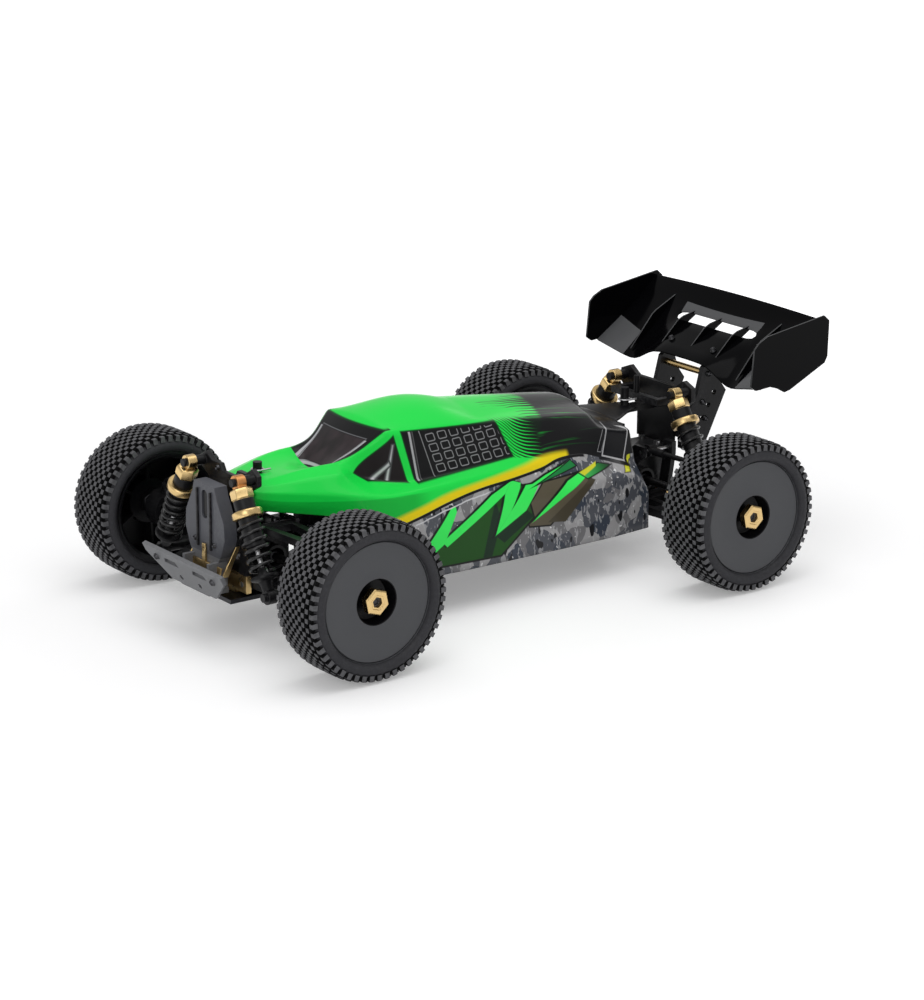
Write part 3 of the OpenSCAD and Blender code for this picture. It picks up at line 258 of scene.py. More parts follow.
def along(field, points):
    """A height read off a drawn line: points are pairs of the field's value and the height."""
    start, end = points[0][0], points[-1][0]
    heights = [p[1] for p in points]
    low, high = min(heights), max(heights)
    curve = field.tree.nodes.new("ShaderNodeFloatCurve")
    feed(field.tree, curve.inputs["Value"], (field - start) * (1 / (end - start)))
    line = curve.mapping.curves[0]
    while len(line.points) < len(points):
        line.points.new(0.5, 0.5)
    for point, (where, height) in zip(line.points, points):
        point.location = ((where - start) / (end - start), (height - low) / (high - low))
        point.handle_type = "AUTO"
    curve.mapping.update()
    return Field(field.tree, curve.outputs[0]) * (high - low) + low


def shader_group(name, inputs, outputs, fill):
    """A node group with named float inputs and outputs; fill(tree, ins) returns its outputs."""
    tree = bpy.data.node_groups.new(name, "ShaderNodeTree")
    for label, default in inputs.items():
        socket = tree.interface.new_socket(label, in_out="INPUT", socket_type="NodeSocketFloat")
        socket.default_value = default
    for label in outputs:
        tree.interface.new_socket(label, in_out="OUTPUT", socket_type="NodeSocketFloat")
    source = tree.nodes.new("NodeGroupInput")
    sink = tree.nodes.new("NodeGroupOutput")
    results = fill(tree, {s.name: Field(tree, s) for s in source.outputs if s.name})
    for label, value in zip(outputs, results):
        feed(tree, sink.inputs[label], value)
    return tree


def fill_moulding(tree, ins):
    """Fine moulded grain, and slow changes of tone and polish."""
    _, vector = place_mm(tree)
    grain = noise(tree, vector, 2.2, 2.0)
    slow = noise(tree, vector, 0.05, 4.0)
    return grain, (slow - 0.5) * ins["Variation"] + 1.0


def fill_wear_and_highlight(tree, ins):
    """Rubbed edges that also stand as a painted highlight, from how sharply the surface turns, broken up by noise.
    """
    geometry = tree.nodes.new("ShaderNodeNewGeometry")
    # sharp edges are lightened: partly rubbed wear, partly a painted highlight
    sharp = Field(tree, geometry.outputs["Pointiness"]).ramp(0.52, 0.62)
    _, vector = place_mm(tree)
    patchy = noise(tree, vector, 0.35, 4.0, 0.65).ramp(0.35, 0.7)
    return (sharp * patchy * ins["Amount"],)


def fill_dust(tree, ins):
    """Light dust in clouds that lie on upward faces."""
    _, vector = place_mm(tree)
    geometry = tree.nodes.new("ShaderNodeNewGeometry")
    split = tree.nodes.new("ShaderNodeSeparateXYZ")
    tree.links.new(geometry.outputs["Normal"], split.inputs[0])
    up = Field(tree, split.outputs[2]).ramp(-0.2, 1.0)
    cloud = noise(tree, vector, 0.12, 5.0, 0.6).ramp(0.35, 0.8)
    return (up * cloud * ins["Amount"],)


GROUPS = {}


def group_node(tree, name, **values):
    """Places a shared group in a tree with its own values, and returns its outputs as fields."""
    made = {
        "Moulded grain": ({"Variation": 0.3}, ("Grain", "Tone"), fill_moulding),
        "Edge wear and highlight": ({"Amount": 0.5}, ("Mask",), fill_wear_and_highlight),
        "Dust": ({"Amount": 0.2}, ("Mask",), fill_dust),
    }
    if name not in GROUPS:
        GROUPS[name] = shader_group(name, *made[name])
    node = tree.nodes.new("ShaderNodeGroup")
    node.node_tree = GROUPS[name]
    for label, value in values.items():
        node.inputs[label].default_value = value
    return [Field(tree, s) for s in node.outputs]


# ------------------------------------------------------------------ materials

MATERIALS = {}
DUST_ON_PLASTIC = (0.11, 0.105, 0.10)
DUST_ON_RUBBER = (0.10, 0.095, 0.09)
CAMO_WARP = 5  # furthest that a facet edge is pushed, in mm
INK = (0.004, 0.005, 0.004)  # outline of a printed shape
SEAL = (0.002, 0.03, 0.008)  # dark line round a window
GLASS = (0.004, 0.004, 0.005)
FRAME_GREY = (0.42, 0.42, 0.44)
GRID_LONG, GRID_TALL = 10.0, 7.3  # pitch of the side window's grid, in mm
# Lower and upper edge of the yellow stripe: pairs of y and z
STRIPE_LOW = [
    (-125, 60), (-79, 72), (-60, 76.3), (-38, 81.2), (-10, 85.6), (16, 87.6), (42, 90.4),
    (70, 94.2), (110, 86), (140, 84),
]
STRIPE_HIGH = [
    (-125, 64), (-85, 75.5), (-60, 81), (-38, 86), (-6, 89.8), (30, 94), (51, 97), (72, 96.8),
]
# Name, colour, colour of rubbed edges with their painted highlight, roughness, grain, edge wear and painted
# highlight, dust, specular level
PLASTICS = (
    ("shell_inside", (0.03, 0.035, 0.032), (0.09, 0.1, 0.09), 0.55, 0.1, 0.2, 0.1, 0.22),
    ("wing_gloss", (0.0016, 0.0016, 0.0020), (0.02, 0.02, 0.02), 0.12, 0.004, 0.0, 0.0, 0.06),
    # painted reflection: lighter grey for wing faces that mirror the studio light
    ("wing_painted_reflection", (0.085, 0.086, 0.090), (0.09, 0.09, 0.095), 0.2, 0.004, 0.0, 0.0, 0.22),
    # painted highlight: lighter grey for the narrow edges of the wing's plates
    ("wing_painted_edge_highlight", (0.050, 0.050, 0.053), (0.09, 0.09, 0.095), 0.22, 0.01, 0.0, 0.0, 0.22),
    ("satin_black", (0.0075, 0.0075, 0.0085), (0.07, 0.07, 0.075), 0.34, 0.18, 0.6, 0.1, 0.18),
    ("slate_nylon", (0.155, 0.158, 0.167), (0.26, 0.265, 0.275), 0.42, 0.2, 0.6, 0.1, 0.22),
    ("guard_nylon", (0.080, 0.083, 0.096), (0.16, 0.165, 0.18), 0.36, 0.12, 0.3, 0.1, 0.22),
    ("rim_nylon", (0.074, 0.076, 0.082), (0.20, 0.20, 0.20), 0.46, 0.2, 0.0, 0.05, 0.22),
    ("cup_black", (0.004, 0.004, 0.005), (0.03, 0.03, 0.03), 0.3, 0.05, 0.3, 0.0, 0.15),
    ("deck_black", (0.004, 0.004, 0.005), (0.05, 0.05, 0.05), 0.36, 0.12, 0.6, 0.1, 0.15),
    ("battery_case", (0.010, 0.011, 0.016), (0.08, 0.08, 0.09), 0.35, 0.1, 0.6, 0.1, 0.22),
    ("bare_sticker", (0.30, 0.31, 0.33), (0.35, 0.35, 0.36), 0.4, 0.04, 0.1, 0.1, 0.22),
)
# Name, colour, roughness, dust
RUBBERS = (
    ("tyre_rubber", (0.031, 0.031, 0.035), 0.62, 0.12),
    ("tread_pins", (0.078, 0.078, 0.083), 0.6, 0.12),
    # painted shade: near black for the tread floor and pin sides between the pins
    ("tread_painted_shade", (0.0045, 0.0045, 0.005), 0.8, 0.0),
)
# Name, colour, roughness, edge wear and painted edge highlight, metallic
METALS = (
    ("gold_anodised", (0.80, 0.57, 0.26), 0.26, 0.3, 1.0),
    ("copper_anodised", (0.72, 0.33, 0.12), 0.34, 0.3, 1.0),
    ("steel", (0.56, 0.56, 0.57), 0.3, 0.3, 1.0),
    ("dark_steel", (0.07, 0.07, 0.075), 0.36, 0.3, 1.0),
    ("gunmetal", (0.045, 0.045, 0.05), 0.42, 0.6, 1.0),
    ("spring_coat", (0.010, 0.010, 0.011), 0.24, 0.3, 0.2),
)


def new_material(name):
    """Starts a finish; gives its tree and its Principled BSDF."""
    material = MATERIALS[name] = bpy.data.materials.new(name)
    material.use_nodes = True
    return material.node_tree, material.node_tree.nodes["Principled BSDF"]


def bump(tree, shader, height, strength, distance=0.0001, slot="Normal"):
    """Raises the surface by a height field."""
    node = tree.nodes.new("ShaderNodeBump")
    node.inputs["Strength"].default_value = strength
    node.inputs["Distance"].default_value = distance
    feed(tree, node.inputs["Height"], height)
    tree.links.new(node.outputs[0], shader.inputs[slot])


def plastic(name, base, worn_and_lit, rough, grain, wear_and_highlight, dust, shine):
    """Moulded plastic: grain, uneven polish, rubbed edges that are also a painted highlight, and a little dust."""
    tree, shader = new_material(name)
    height, tone = group_node(tree, "Moulded grain", Variation=0.35)
    # lighter edges: rubbed wear and a painted highlight
    (rubbed_and_lit,) = group_node(tree, "Edge wear and highlight", Amount=wear_and_highlight)
    (dusty,) = group_node(tree, "Dust", Amount=dust)
    tinted = mixed(tree, tuple(c * 0.75 for c in base), tuple(c * 1.25 for c in base), tone * 0.5)
    tinted = mixed(tree, tinted, worn_and_lit, rubbed_and_lit)
    tinted = mixed(tree, tinted, DUST_ON_PLASTIC, dusty)
    feed(tree, shader.inputs["Base Color"], tinted)
    feed(tree, shader.inputs["Roughness"], tone * rough + dusty * 0.3)
    shader.inputs["Specular IOR Level"].default_value = shine
    bump(tree, shader, height, grain)


def metal(name, base, rough, wear_and_highlight, metallic):
    """Machined metal with fine tool marks and brighter edges, partly wear and partly a painted highlight."""
    tree, shader = new_material(name)
    _, vector = place_mm(tree)
    marks = noise(tree, vector, 1.6, 3.0, 0.6, stretch=(1, 1, 6))
    smear = noise(tree, vector, 0.09, 4.0)
    # brighter edges: rubbed wear and a painted highlight
    (rubbed_and_lit,) = group_node(tree, "Edge wear and highlight", Amount=wear_and_highlight)
    tinted = mixed(tree, tuple(c * 0.8 for c in base), base, smear)
    tinted = mixed(tree, tinted, tuple(min(1, c * 1.35 + 0.04) for c in base), rubbed_and_lit)
    feed(tree, shader.inputs["Base Color"], tinted)
    shader.inputs["Metallic"].default_value = metallic
    feed(tree, shader.inputs["Roughness"], smear * 0.25 + (rough - 0.1))
    bump(tree, shader, marks, 0.25, 0.00006)


def rubber(name, base, rough, dust):
    """Tyre rubber: mottled, matte and slightly dusty in its hollows."""
    tree, shader = new_material(name)
    _, vector = place_mm(tree)
    height, tone = group_node(tree, "Moulded grain", Variation=0.5)
    (dusty,) = group_node(tree, "Dust", Amount=dust)
    # lighter edges: rubbed wear and a painted highlight
    (rubbed_and_lit,) = group_node(tree, "Edge wear and highlight", Amount=0.4)
    scuffed = noise(tree, vector, 0.4, 5.0, 0.7).ramp(0.4, 0.75)
    tinted = mixed(tree, base, tuple(c * 1.5 for c in base), scuffed * 0.6)
    tinted = mixed(tree, tinted, tuple(c * 2.2 for c in base), rubbed_and_lit)
    tinted = mixed(tree, tinted, DUST_ON_RUBBER, dusty)
    feed(tree, shader.inputs["Base Color"], tinted)
    feed(tree, shader.inputs["Roughness"], tone * rough)
    shader.inputs["Specular IOR Level"].default_value = 0.2
    bump(tree, shader, height + scuffed, 0.35, 0.00015)


class Print:
    """Colours printed one over another; top is what shows."""

    def __init__(self, tree, base, flat=None):
        self.tree, self.top, self.flat = tree, base, flat

    def lay(self, tint, mask):
        """Lays a colour where the mask is 1."""
        self.top = mixed(self.tree, self.top, tint, mask)

    def stroke(self, tint, corners, soft=0.3, outline=0.0):
        """Lays a convex shape, with a dark outline where asked."""
        inside = polygon(self.tree, self.flat, corners)
        if outline:
            self.lay(INK, (inside + outline).edge(soft))
        self.lay(tint, inside.edge(soft))


def camo(tree, vector, paint):
    """Facets of four greys with pale streaks and spots and black slabs."""
    warp = tree.nodes.new("ShaderNodeVectorMath")
    warp.operation = "MULTIPLY_ADD"
    swirl = tree.nodes.new("ShaderNodeTexNoise")
    swirl.inputs["Scale"].default_value = 0.12
    tree.links.new(vector, swirl.inputs["Vector"])
    tree.links.new(swirl.outputs["Color"], warp.inputs[0])
    warp.inputs[1].default_value = (CAMO_WARP,) * 3
    tree.links.new(vector, warp.inputs[2])
    cells = tree.nodes.new("ShaderNodeTexVoronoi")
    cells.inputs["Scale"].default_value = 0.085
    tree.links.new(warp.outputs[0], cells.inputs["Vector"])
    shade = tree.nodes.new("ShaderNodeSeparateXYZ")
    tree.links.new(cells.outputs["Color"], shade.inputs[0])
    pick = Field(tree, shade.outputs[0])
    coat = Print(tree, tuple(paint.camo_light))
    coat.lay((0.17, 0.168, 0.175), pick.ramp(0.30, 0.36))
    coat.lay((0.085, 0.09, 0.105), pick.ramp(0.46, 0.54))
    coat.lay(tuple(paint.camo_dark), pick.ramp(0.74, 0.82))
    streaks = noise(tree, warp.outputs[0], 0.30, 2.0, stretch=(1, 1.3, 0.45)).ramp(0.57, 0.62)
    coat.lay((0.46, 0.46, 0.47), streaks * 0.6)
    spots = noise(tree, vector, 0.30, 1.0).ramp(0.70, 0.74)
    coat.lay((0.72, 0.72, 0.73), spots * 0.9)
    slabs = noise(tree, vector, 0.10, 1.0, stretch=(1, 1.5, 0.7))
    coat.lay((0.012, 0.012, 0.014), slabs.ramp(0.66, 0.68))
    return coat.top


def flank_graphics(tree, y, vector, flat, paint):
    """Camo, olive panels and claws below the stripe, as one colour."""
    coat = Print(tree, camo(tree, vector, paint), flat)
    green, deep = tuple(paint.green), tuple(paint.deep_green)
    bright = tuple(min(1.0, c * 1.15 + 0.03) for c in green)
    olive = tuple(paint.olive)
    dark = (0.003, 0.022, 0.008)
    # olive panels behind the rear claws
    rear_panel = [(24, 63), (43, 80.5), (76, 82), (84, 78), (46, 50), (28, 52)]
    coat.stroke(olive, rear_panel, 0.4, 1.2)
    shaded = tuple(c * 0.6 for c in olive)
    coat.stroke(shaded, [(44, 52), (84, 78), (88, 76), (60, 50)], 0.5)
    # deep green field behind the front claws
    field = [(-59, 46), (-50, 37), (2, 36), (31, 58), (25, 81), (12, 84), (-46, 56)]
    coat.stroke(deep, field, 0.4, 1.5)
    coat.stroke(dark, [(-14, 36), (-6, 62), (-1, 76), (3, 60), (-6, 36)], 0.6)
    coat.stroke(dark, [(-2, 50), (5, 44), (32, 59), (26, 64)], 0.4)
    # bright claws, each over its dark shadow
    claws = [
        [(-39, 76.3), (-35.2, 76.8), (-34.8, 73), (-47, 52), (-56.9, 46.2), (-59.6, 54.5)],
        [(-48.5, 54), (-44.4, 49.7), (8.6, 78.5), (15.8, 86.1), (-3, 79.4)],
        [(15.8, 86.3), (23.4, 83.5), (22.1, 80.2), (11.7, 65.2), (-2.3, 50.5), (8.6, 78.5)],
        [(-2.3, 50.5), (25.1, 63.9), (39.5, 80.9), (27.4, 81.3), (11.7, 65.4)],
        [(30, 80.0), (40, 80.4), (50, 84.0), (71.5, 91), (46, 85.2)],
        [(27.9, 52.5), (43.4, 60.2), (81.9, 77.7), (76, 82), (64.3, 78.4)],
    ]
    for corners in claws:
        coat.stroke((0.002, 0.010, 0.004), [(a - 1.4, b + 0.6) for a, b in corners], 0.5, 0.6)
    for corners in claws:
        coat.stroke(bright, corners)
    coat.stroke((0.01, 0.22, 0.05), [(41, 80.9), (71.5, 91), (75, 86.9)], 0.3, 0.8)
    fade = mixed(tree, (0.05, 0.45, 0.09), (0.006, 0.06, 0.015), y.ramp(78, 106))
    coat.stroke(fade, [(76, 82), (81.9, 77.7), (105.5, 82.6), (96, 85)], 0.4, 0.8)
    tip = (0.66, 0.66, 0.03)
    coat.stroke(tip, [(76.5, 82.2), (95, 86.4), (93, 83.8), (80, 79.6)], 0.4)
    coat.stroke(tip, [(108, 77.5), (124, 82.5), (133, 88.5), (131.5, 82), (121, 76.5)], 0.5, 0.6)
    return coat.top


def windscreen(coat, x_side, y, z, front):
    """Windscreen with its pane and metal frame, seen from the front."""
    shape = [(-34.0, 131.4), (34.0, 131.4), (18.6, 101.6), (-18.6, 101.6)]
    screen = polygon(coat.tree, front, shape)
    ahead = (-71.5 - y).edge(0.6) * (y + 114.2).edge(0.4)
    screen_mask = screen.edge(0.25) * ahead
    coat.lay(SEAL, (screen + 1.1).edge(0.5) * ahead)
    coat.lay(GLASS, screen_mask)
    pane = polygon(coat.tree, front, [(-25.4, 125.0), (25.4, 125.0), (15.8, 106.6), (-15.8, 106.6)])
    glow = noise(coat.tree, front, 0.08, 2.0).ramp(0.3, 0.7)
    inside = mixed(coat.tree, (0.035, 0.024, 0.028), (0.014, 0.011, 0.012), glow)
    coat.lay(inside, pane.edge(0.3) * ahead)
    sides = (x_side - 6).ramp(0, 6)
    coat.lay(FRAME_GREY, (pane + 1.2).line(2.1) * ahead * sides * (124.6 - z).edge())
    coat.lay((0.12, 0.12, 0.13), (pane + 0.6).line(0.5) * ahead)
    coat.lay(FRAME_GREY, (z - 105.2).line(1.5) * screen_mask * (19.5 - x_side).edge())
    coat.lay((0.26, 0.26, 0.27), (z - 103.0).line(0.9) * screen_mask)


def quarter_window(coat, cabin):
    """Front quarter window with its two struts."""
    shape = [(-71.4, 127.0), (-99.6, 105.2), (-92.4, 100.0), (-65.4, 96.6)]
    quarter = polygon(coat.tree, coat.flat, shape)
    mask = quarter.edge(0.25) * cabin
    coat.lay(SEAL, (quarter + 1.0).edge(0.5) * cabin)
    coat.lay((0.010, 0.007, 0.008), mask)
    for bar in (
        [(-72.8, 122), (-71.4, 122), (-78.0, 97), (-80.4, 97)],
        [(-76.0, 110.8), (-75.4, 108.2), (-88.6, 97.4), (-90.6, 99)],
    ):
        strut = polygon(coat.tree, coat.flat, bar)
        coat.lay((0.05, 0.05, 0.055), (strut + 0.8).edge(0.3) * mask)
        coat.lay((0.20, 0.20, 0.21), strut.edge(0.3) * mask)
        coat.lay((0.50, 0.50, 0.52), (strut - 0.55).edge(0.3) * mask)


def side_window(coat, cabin, y, z):
    """Side window with its grid of rounded squares and the bars ahead of it."""
    shape = [(-64.2, 129.4), (14.4, 125.2), (24.4, 100.8), (-58.0, 95.6)]
    side = polygon(coat.tree, coat.flat, shape)
    mask = side.edge(0.25) * cabin
    coat.lay(SEAL, (side + 1.0).edge(0.5) * cabin)
    coat.lay(GLASS, mask)
    drop = 129 - z
    past_grid_start = y - drop * 0.27 + 48.5
    column = past_grid_start * (1 / GRID_LONG)
    row = (z - along(y, [(-66, 96.2), (26, 101.4)])) * (1 / GRID_TALL)
    off_column = column.run("FRACT") - 0.5
    off_row = row.run("FRACT") - 0.5
    across = off_column.run("ABSOLUTE") * GRID_LONG - 2.3
    upward = off_row.run("ABSOLUTE") * GRID_TALL - 1.55
    corner = across.high(0.0).run("POWER", 2.0) + upward.high(0.0).run("POWER", 2.0)
    box = corner.run("SQRT") + across.high(upward).low(0.0) - 1.0
    meshed = mask * past_grid_start.edge(0.3) * (side - 1.2).edge(0.3)
    coat.lay((0.24, 0.24, 0.25), box.line(0.7, 0.18) * meshed)
    for offset, lean, width, tint in (
        (-58.0, 0.07, 3.4, 0.03), (-58.4, 0.07, 1.6, 0.40),
        (-55.9, 0.07, 0.6, 0.10), (-50.6, 0.25, 0.7, 0.22),
    ):
        bar = (y - drop * lean - offset).line(width, 0.25)
        coat.lay((tint, tint, tint * 1.04), bar * mask)


def speed_lines(coat, vector, x, y, z, x_side, green):
    """Lines behind the cabin and over the deck that thicken until they close into black."""
    tree = coat.tree
    run = along(y, [(8, 0), (22, 14), (34, 24), (48, 28), (64, 29.5), (100, 30)])
    ripple = (z + run * 0.95 + noise(tree, vector, 0.03, 1.0) * 6) * (1 / 2.45)
    wave = (ripple.run("FRACT") - 0.5).run("ABSOLUTE") * 2
    closing = y.ramp(12, 62, 0.10, 1.12) + (z - 97).ramp(0, 30) * 0.12
    lines = (closing - wave).ramp(-0.12, 0.12) * (y - (z - 95) * -0.32 - 24).ramp(-6, 3)
    above = (z - along(y, [(10, 101), (40, 97.5), (140, 80)])).edge(0.5)
    coat.lay((0.004, 0.012, 0.006), lines * ((x_side - 36).ramp(-3, 3) * above))
    # streaks over the deck
    grid = (x + noise(tree, vector, 0.03, 1.0) * 9) * (1 / 3.6)
    ridge = (grid.run("FRACT") - 0.5).run("ABSOLUTE") * 2
    reach = noise(tree, vector, 0.16, 1.0, stretch=(1.0, 0.02, 0.02))
    deck = (y.ramp(22, 88, -0.1, 1.0) + (reach - 0.5) * 1.5 - ridge).ramp(-0.12, 0.12)
    deck = deck.high((y - 92).ramp(-10, 4)) * (39 - x_side).ramp(-3, 3) * (y - 16).ramp(0, 8)
    coat.lay((0.005, 0.008, 0.006), deck)
    # black tail with the last green wisps
    tail_line = along(z, [(70, 112), (84, 80), (91, 66), (98, 52), (112, 52), (140, 96)])
    tail = (y - tail_line).ramp(-3, 3) * (z - 79).edge(0.5)
    wisps = noise(tree, vector, 0.5, 2.0, 0.5, stretch=(1, 0.02, 0.1)).ramp(0.56, 0.68)
    wisps = wisps * (90 - y).ramp(-20, 16)
    coat.lay((0.005, 0.005, 0.006), tail)
    coat.lay(tuple(c * 0.5 for c in green), tail * wisps * (z - 98).edge(2))


def flank(coat, vector, y, z, side_on, paint):
    """The yellow stripe, all that is printed below it, and a darkening towards the bottom edge."""
    low_edge = along(y, STRIPE_LOW)
    high_edge = along(y, STRIPE_HIGH)
    stripe = (z - low_edge).edge(0.3) * (high_edge - z).ramp(-2.6, 1.4)
    stripe = stripe * side_on * (71 - y).ramp(-2, 2)
    coat.lay(tuple(paint.yellow), stripe * (y + 112).ramp(-12, 12))
    below = (low_edge - z).edge(0.2) * side_on * (y + 79.5).edge(0.5)
    coat.lay(flank_graphics(coat.tree, y, vector, coat.flat, paint), below)
    rim = (low_edge - z - 0.9).line(1.9, 0.3) * side_on * (y + 79).edge(0.5) * (86 - y).edge(1)
    coat.lay((0.004, 0.004, 0.005), rim)
    wander = noise(coat.tree, vector, 0.09, 2.0) * 2
    pale = (low_edge - z - 3.6 - wander).line(0.9, 0.3) * side_on
    coat.lay((0.60, 0.60, 0.62), pale * (y + 70).edge(1) * (-2 - y).ramp(-2, 6))
    # darker towards the bottom edge of the flank
    coat.lay((0.02, 0.03, 0.02), (28 - z).ramp(-6, 6) * side_on * 0.5)


def body_paint(paint):
    """Gloss paint of the shell, with everything that is printed on it."""
    tree, shader = new_material("shell_paint")
    (x, y, z), vector = place_mm(tree)
    x_side = x.run("ABSOLUTE")
    green = tuple(paint.green)
    shade = noise(tree, vector, 0.02, 2.0)
    base = mixed(tree, green, tuple(c * 0.86 for c in green), shade)
    coat = Print(tree, base, flat_vector(y, z))
    lower_nose = (along(y, [(-180, 101.4), (-81, 90.5), (60, 92)]) - z).edge(0.5)
    lower_nose = lower_nose * (x_side - 20).edge() * (-60 - y).ramp(-10, 10)
    coat.lay(tuple(c * 0.62 for c in green), lower_nose)
    speed_lines(coat, vector, x, y, z, x_side, green)
    flank(coat, vector, y, z, (x_side - 44).edge(1.0), paint)
    cabin = (x_side - 22).edge(0.5)
    windscreen(coat, x_side, y, z, flat_vector(x, z))
    quarter_window(coat, cabin)
    side_window(coat, cabin, y, z)
    # outlined intake at the tail
    intake = polygon(tree, coat.flat, [(113.5, 109.5), (134.5, 101.5), (124, 81.5), (103.5, 88.5)])
    beside_tail = (x_side - 36).edge(0.5)
    coat.lay((0.006, 0.006, 0.008), (intake + 3).edge(0.4) * beside_tail)
    coat.lay((0.46, 0.46, 0.47), intake.line(1.1) * beside_tail)
    second = polygon(tree, coat.flat, [(108.5, 107), (112.5, 106), (103.0, 91), (99.5, 92)])
    coat.lay((0.28, 0.28, 0.29), second.line(0.5) * beside_tail * (106 - z).edge())

    feed(tree, shader.inputs["Base Color"], coat.top)
    orange_peel = noise(tree, vector, 0.16, 2.0)
    feed(tree, shader.inputs["Roughness"], noise(tree, vector, 0.03, 3.0) * 0.14 + 0.24)
    shader.inputs["Specular IOR Level"].default_value = 0.14
    shader.inputs["Coat Weight"].default_value = 0.12
    shader.inputs["Coat Roughness"].default_value = 0.07
    bump(tree, shader, orange_peel, 0.05, 0.0004)
    bump(tree, shader, orange_peel, 0.03, 0.0004, "Coat Normal")


def make_materials(paint):
    """Every finish of the car."""
    body_paint(paint)
    for name, base, worn_and_lit, rough, grain, wear_and_highlight, dust, shine in PLASTICS:
        plastic(name, base, worn_and_lit, rough, grain, wear_and_highlight, dust, shine)
    for name, base, rough, dust in RUBBERS:
        rubber(name, base, rough, dust)
    for name, base, rough, wear_and_highlight, metallic in METALS:
        metal(name, base, rough, wear_and_highlight, metallic)


# ------------------------------------------------------------------ mesh helpers

CAR = Matrix.Translation((0, MID_Y * MM, 0)) @ Matrix.Scale(MM, 4)
BODY_OF = {n: b for b, ns in frame["record"]["behaviour"]["bodies"].items() for n in ns}
SMOOTH = math.radians(32)


def finish_mesh(bm, name, body, finishes, sharp=SMOOTH, turn_out=True):
    """Makes an object of a bmesh drawn in the car frame, and puts it on its body."""
    bmesh.ops.remove_doubles(bm, verts=bm.verts, dist=0.002)
    if turn_out:
        bmesh.ops.recalc_face_normals(bm, faces=bm.faces)
    bmesh.ops.transform(bm, matrix=CAR, verts=bm.verts)
    mesh = bpy.data.meshes.new(name)
    bm.to_mesh(mesh)
    bm.free()
    for finish in finishes:
        mesh.materials.append(MATERIALS[finish])
    mesh.polygons.foreach_set("use_smooth", [True] * len(mesh.polygons))
    mesh.set_sharp_from_angle(angle=sharp)
    piece = bpy.data.objects.new(name, mesh)
    bpy.context.scene.collection.objects.link(piece)
    if body:
        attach(piece, body)
    return piece


def bevelled(piece, width=0.3, angle=38, segments=2):
    """Rounds the sharp edges of a piece."""
    bevel = piece.modifiers.new("Edges", "BEVEL")
    bevel.width, bevel.segments = width * MM, segments
    bevel.limit_method, bevel.angle_limit = "ANGLE", math.radians(angle)
    return piece


def walled(piece, thick, inside=0, offset=-1.0):
    """Gives a sheet its thickness."""
    wall = piece.modifiers.new("Wall", "SOLIDIFY")
    wall.thickness, wall.offset = thick * MM, offset
    wall.material_offset, wall.material_offset_rim = inside, 0
    wall.use_even_offset = True
    return piece


def smoothed(piece, levels):
    """Subdivides a piece smoothly."""
    surface = piece.modifiers.new("Smooth", "SUBSURF")
    surface.levels = surface.render_levels = levels
    surface.boundary_smooth = "PRESERVE_CORNERS"
    return piece


def paint_faces(faces, index):
    """Gives faces a finish by its place in the piece's list."""
    for face in faces:
        face.material_index = index


def spin_profile(bm, points, axis="X", steps=64, finish=0, closed=True):
    """A turned shape: points are (along, radius) down the profile, spun round an axis."""
    on_x = axis == "X"
    spin = (1, 0, 0) if on_x else (0, 0, 1)
    known = len(bm.faces)
    verts = [bm.verts.new((a, 0, r) if on_x else (r, 0, a)) for a, r in points]
    pairs = list(zip(verts, verts[1:] + ([verts[0]] if closed else [])))
    edges = [bm.edges.new(pair) for pair in pairs]
    bmesh.ops.spin(
        bm, geom=verts + edges, cent=(0, 0, 0), axis=spin, angle=math.tau, steps=steps,
        use_merge=True,
    )
    bmesh.ops.remove_doubles(bm, verts=bm.verts, dist=0.002)
    bm.faces.ensure_lookup_table()
    paint_faces(list(bm.faces)[known:], finish)


def block(bm, low, high, finish=0, turn=None):
    """A box from its low to its high corner, turned by a matrix where asked."""
    made = bmesh.ops.create_cube(bm, size=1)["verts"]
    low, high = Vector(low), Vector(high)
    bmesh.ops.scale(bm, vec=high - low, verts=made)
    bmesh.ops.translate(bm, vec=(low + high) / 2, verts=made)
    if turn is not None:
        bmesh.ops.transform(bm, matrix=turn, verts=made)
    paint_faces({f for v in made for f in v.link_faces}, finish)
    return made


def rod(bm, start, end, radius, segments=24, finish=0):
    """A round bar between two points."""
    start, end = Vector(start), Vector(end)
    made = bmesh.ops.create_cone(
        bm, cap_ends=True, segments=segments, radius1=radius, radius2=radius,
        depth=(end - start).length,
    )["verts"]
    turn = (end - start).to_track_quat("Z", "Y").to_matrix().to_4x4()
    bmesh.ops.transform(bm, matrix=Matrix.Translation((start + end) / 2) @ turn, verts=made)
    paint_faces({f for v in made for f in v.link_faces}, finish)
    return made


def plate(bm, outline, low, high, across="X"):
    """A flat plate: outline pairs lie across the axis, low and high are its faces along it."""
    on_x = across == "X"
    way = (1, 0, 0) if on_x else (0, 1, 0)
    corners = [bm.verts.new((low, a, b) if on_x else (a, low, b)) for a, b in outline]
    face = bm.faces.new(corners)
    grown = bmesh.ops.extrude_face_region(bm, geom=[face])["geom"]
    top = [g for g in grown if isinstance(g, bmesh.types.BMVert)]
    bmesh.ops.translate(bm, vec=Vector(way) * (high - low), verts=top)


def sheet_of_rows(bm, rows):
    """A curved sheet: the first row of points is drawn and then extruded to each next row."""
    line = [bm.verts.new(p) for p in rows[0]]
    edges = [bm.edges.new(pair) for pair in zip(line, line[1:])]
    for row in rows[1:]:
        bm.verts.index_update()
        grown = bmesh.ops.extrude_edge_only(bm, edges=edges)["geom"]
        edges = [g for g in grown if isinstance(g, bmesh.types.BMEdge)]
        edges = [e for e in edges if all(v not in line for v in e.verts)]
        fresh = {v for e in edges for v in e.verts}
        step = []
        for old in line:
            step.append(next(o for e in old.link_edges for o in [e.other_vert(old)] if o in fresh))
        for vert, point in zip(step, row):
            vert.co = point
        line = step


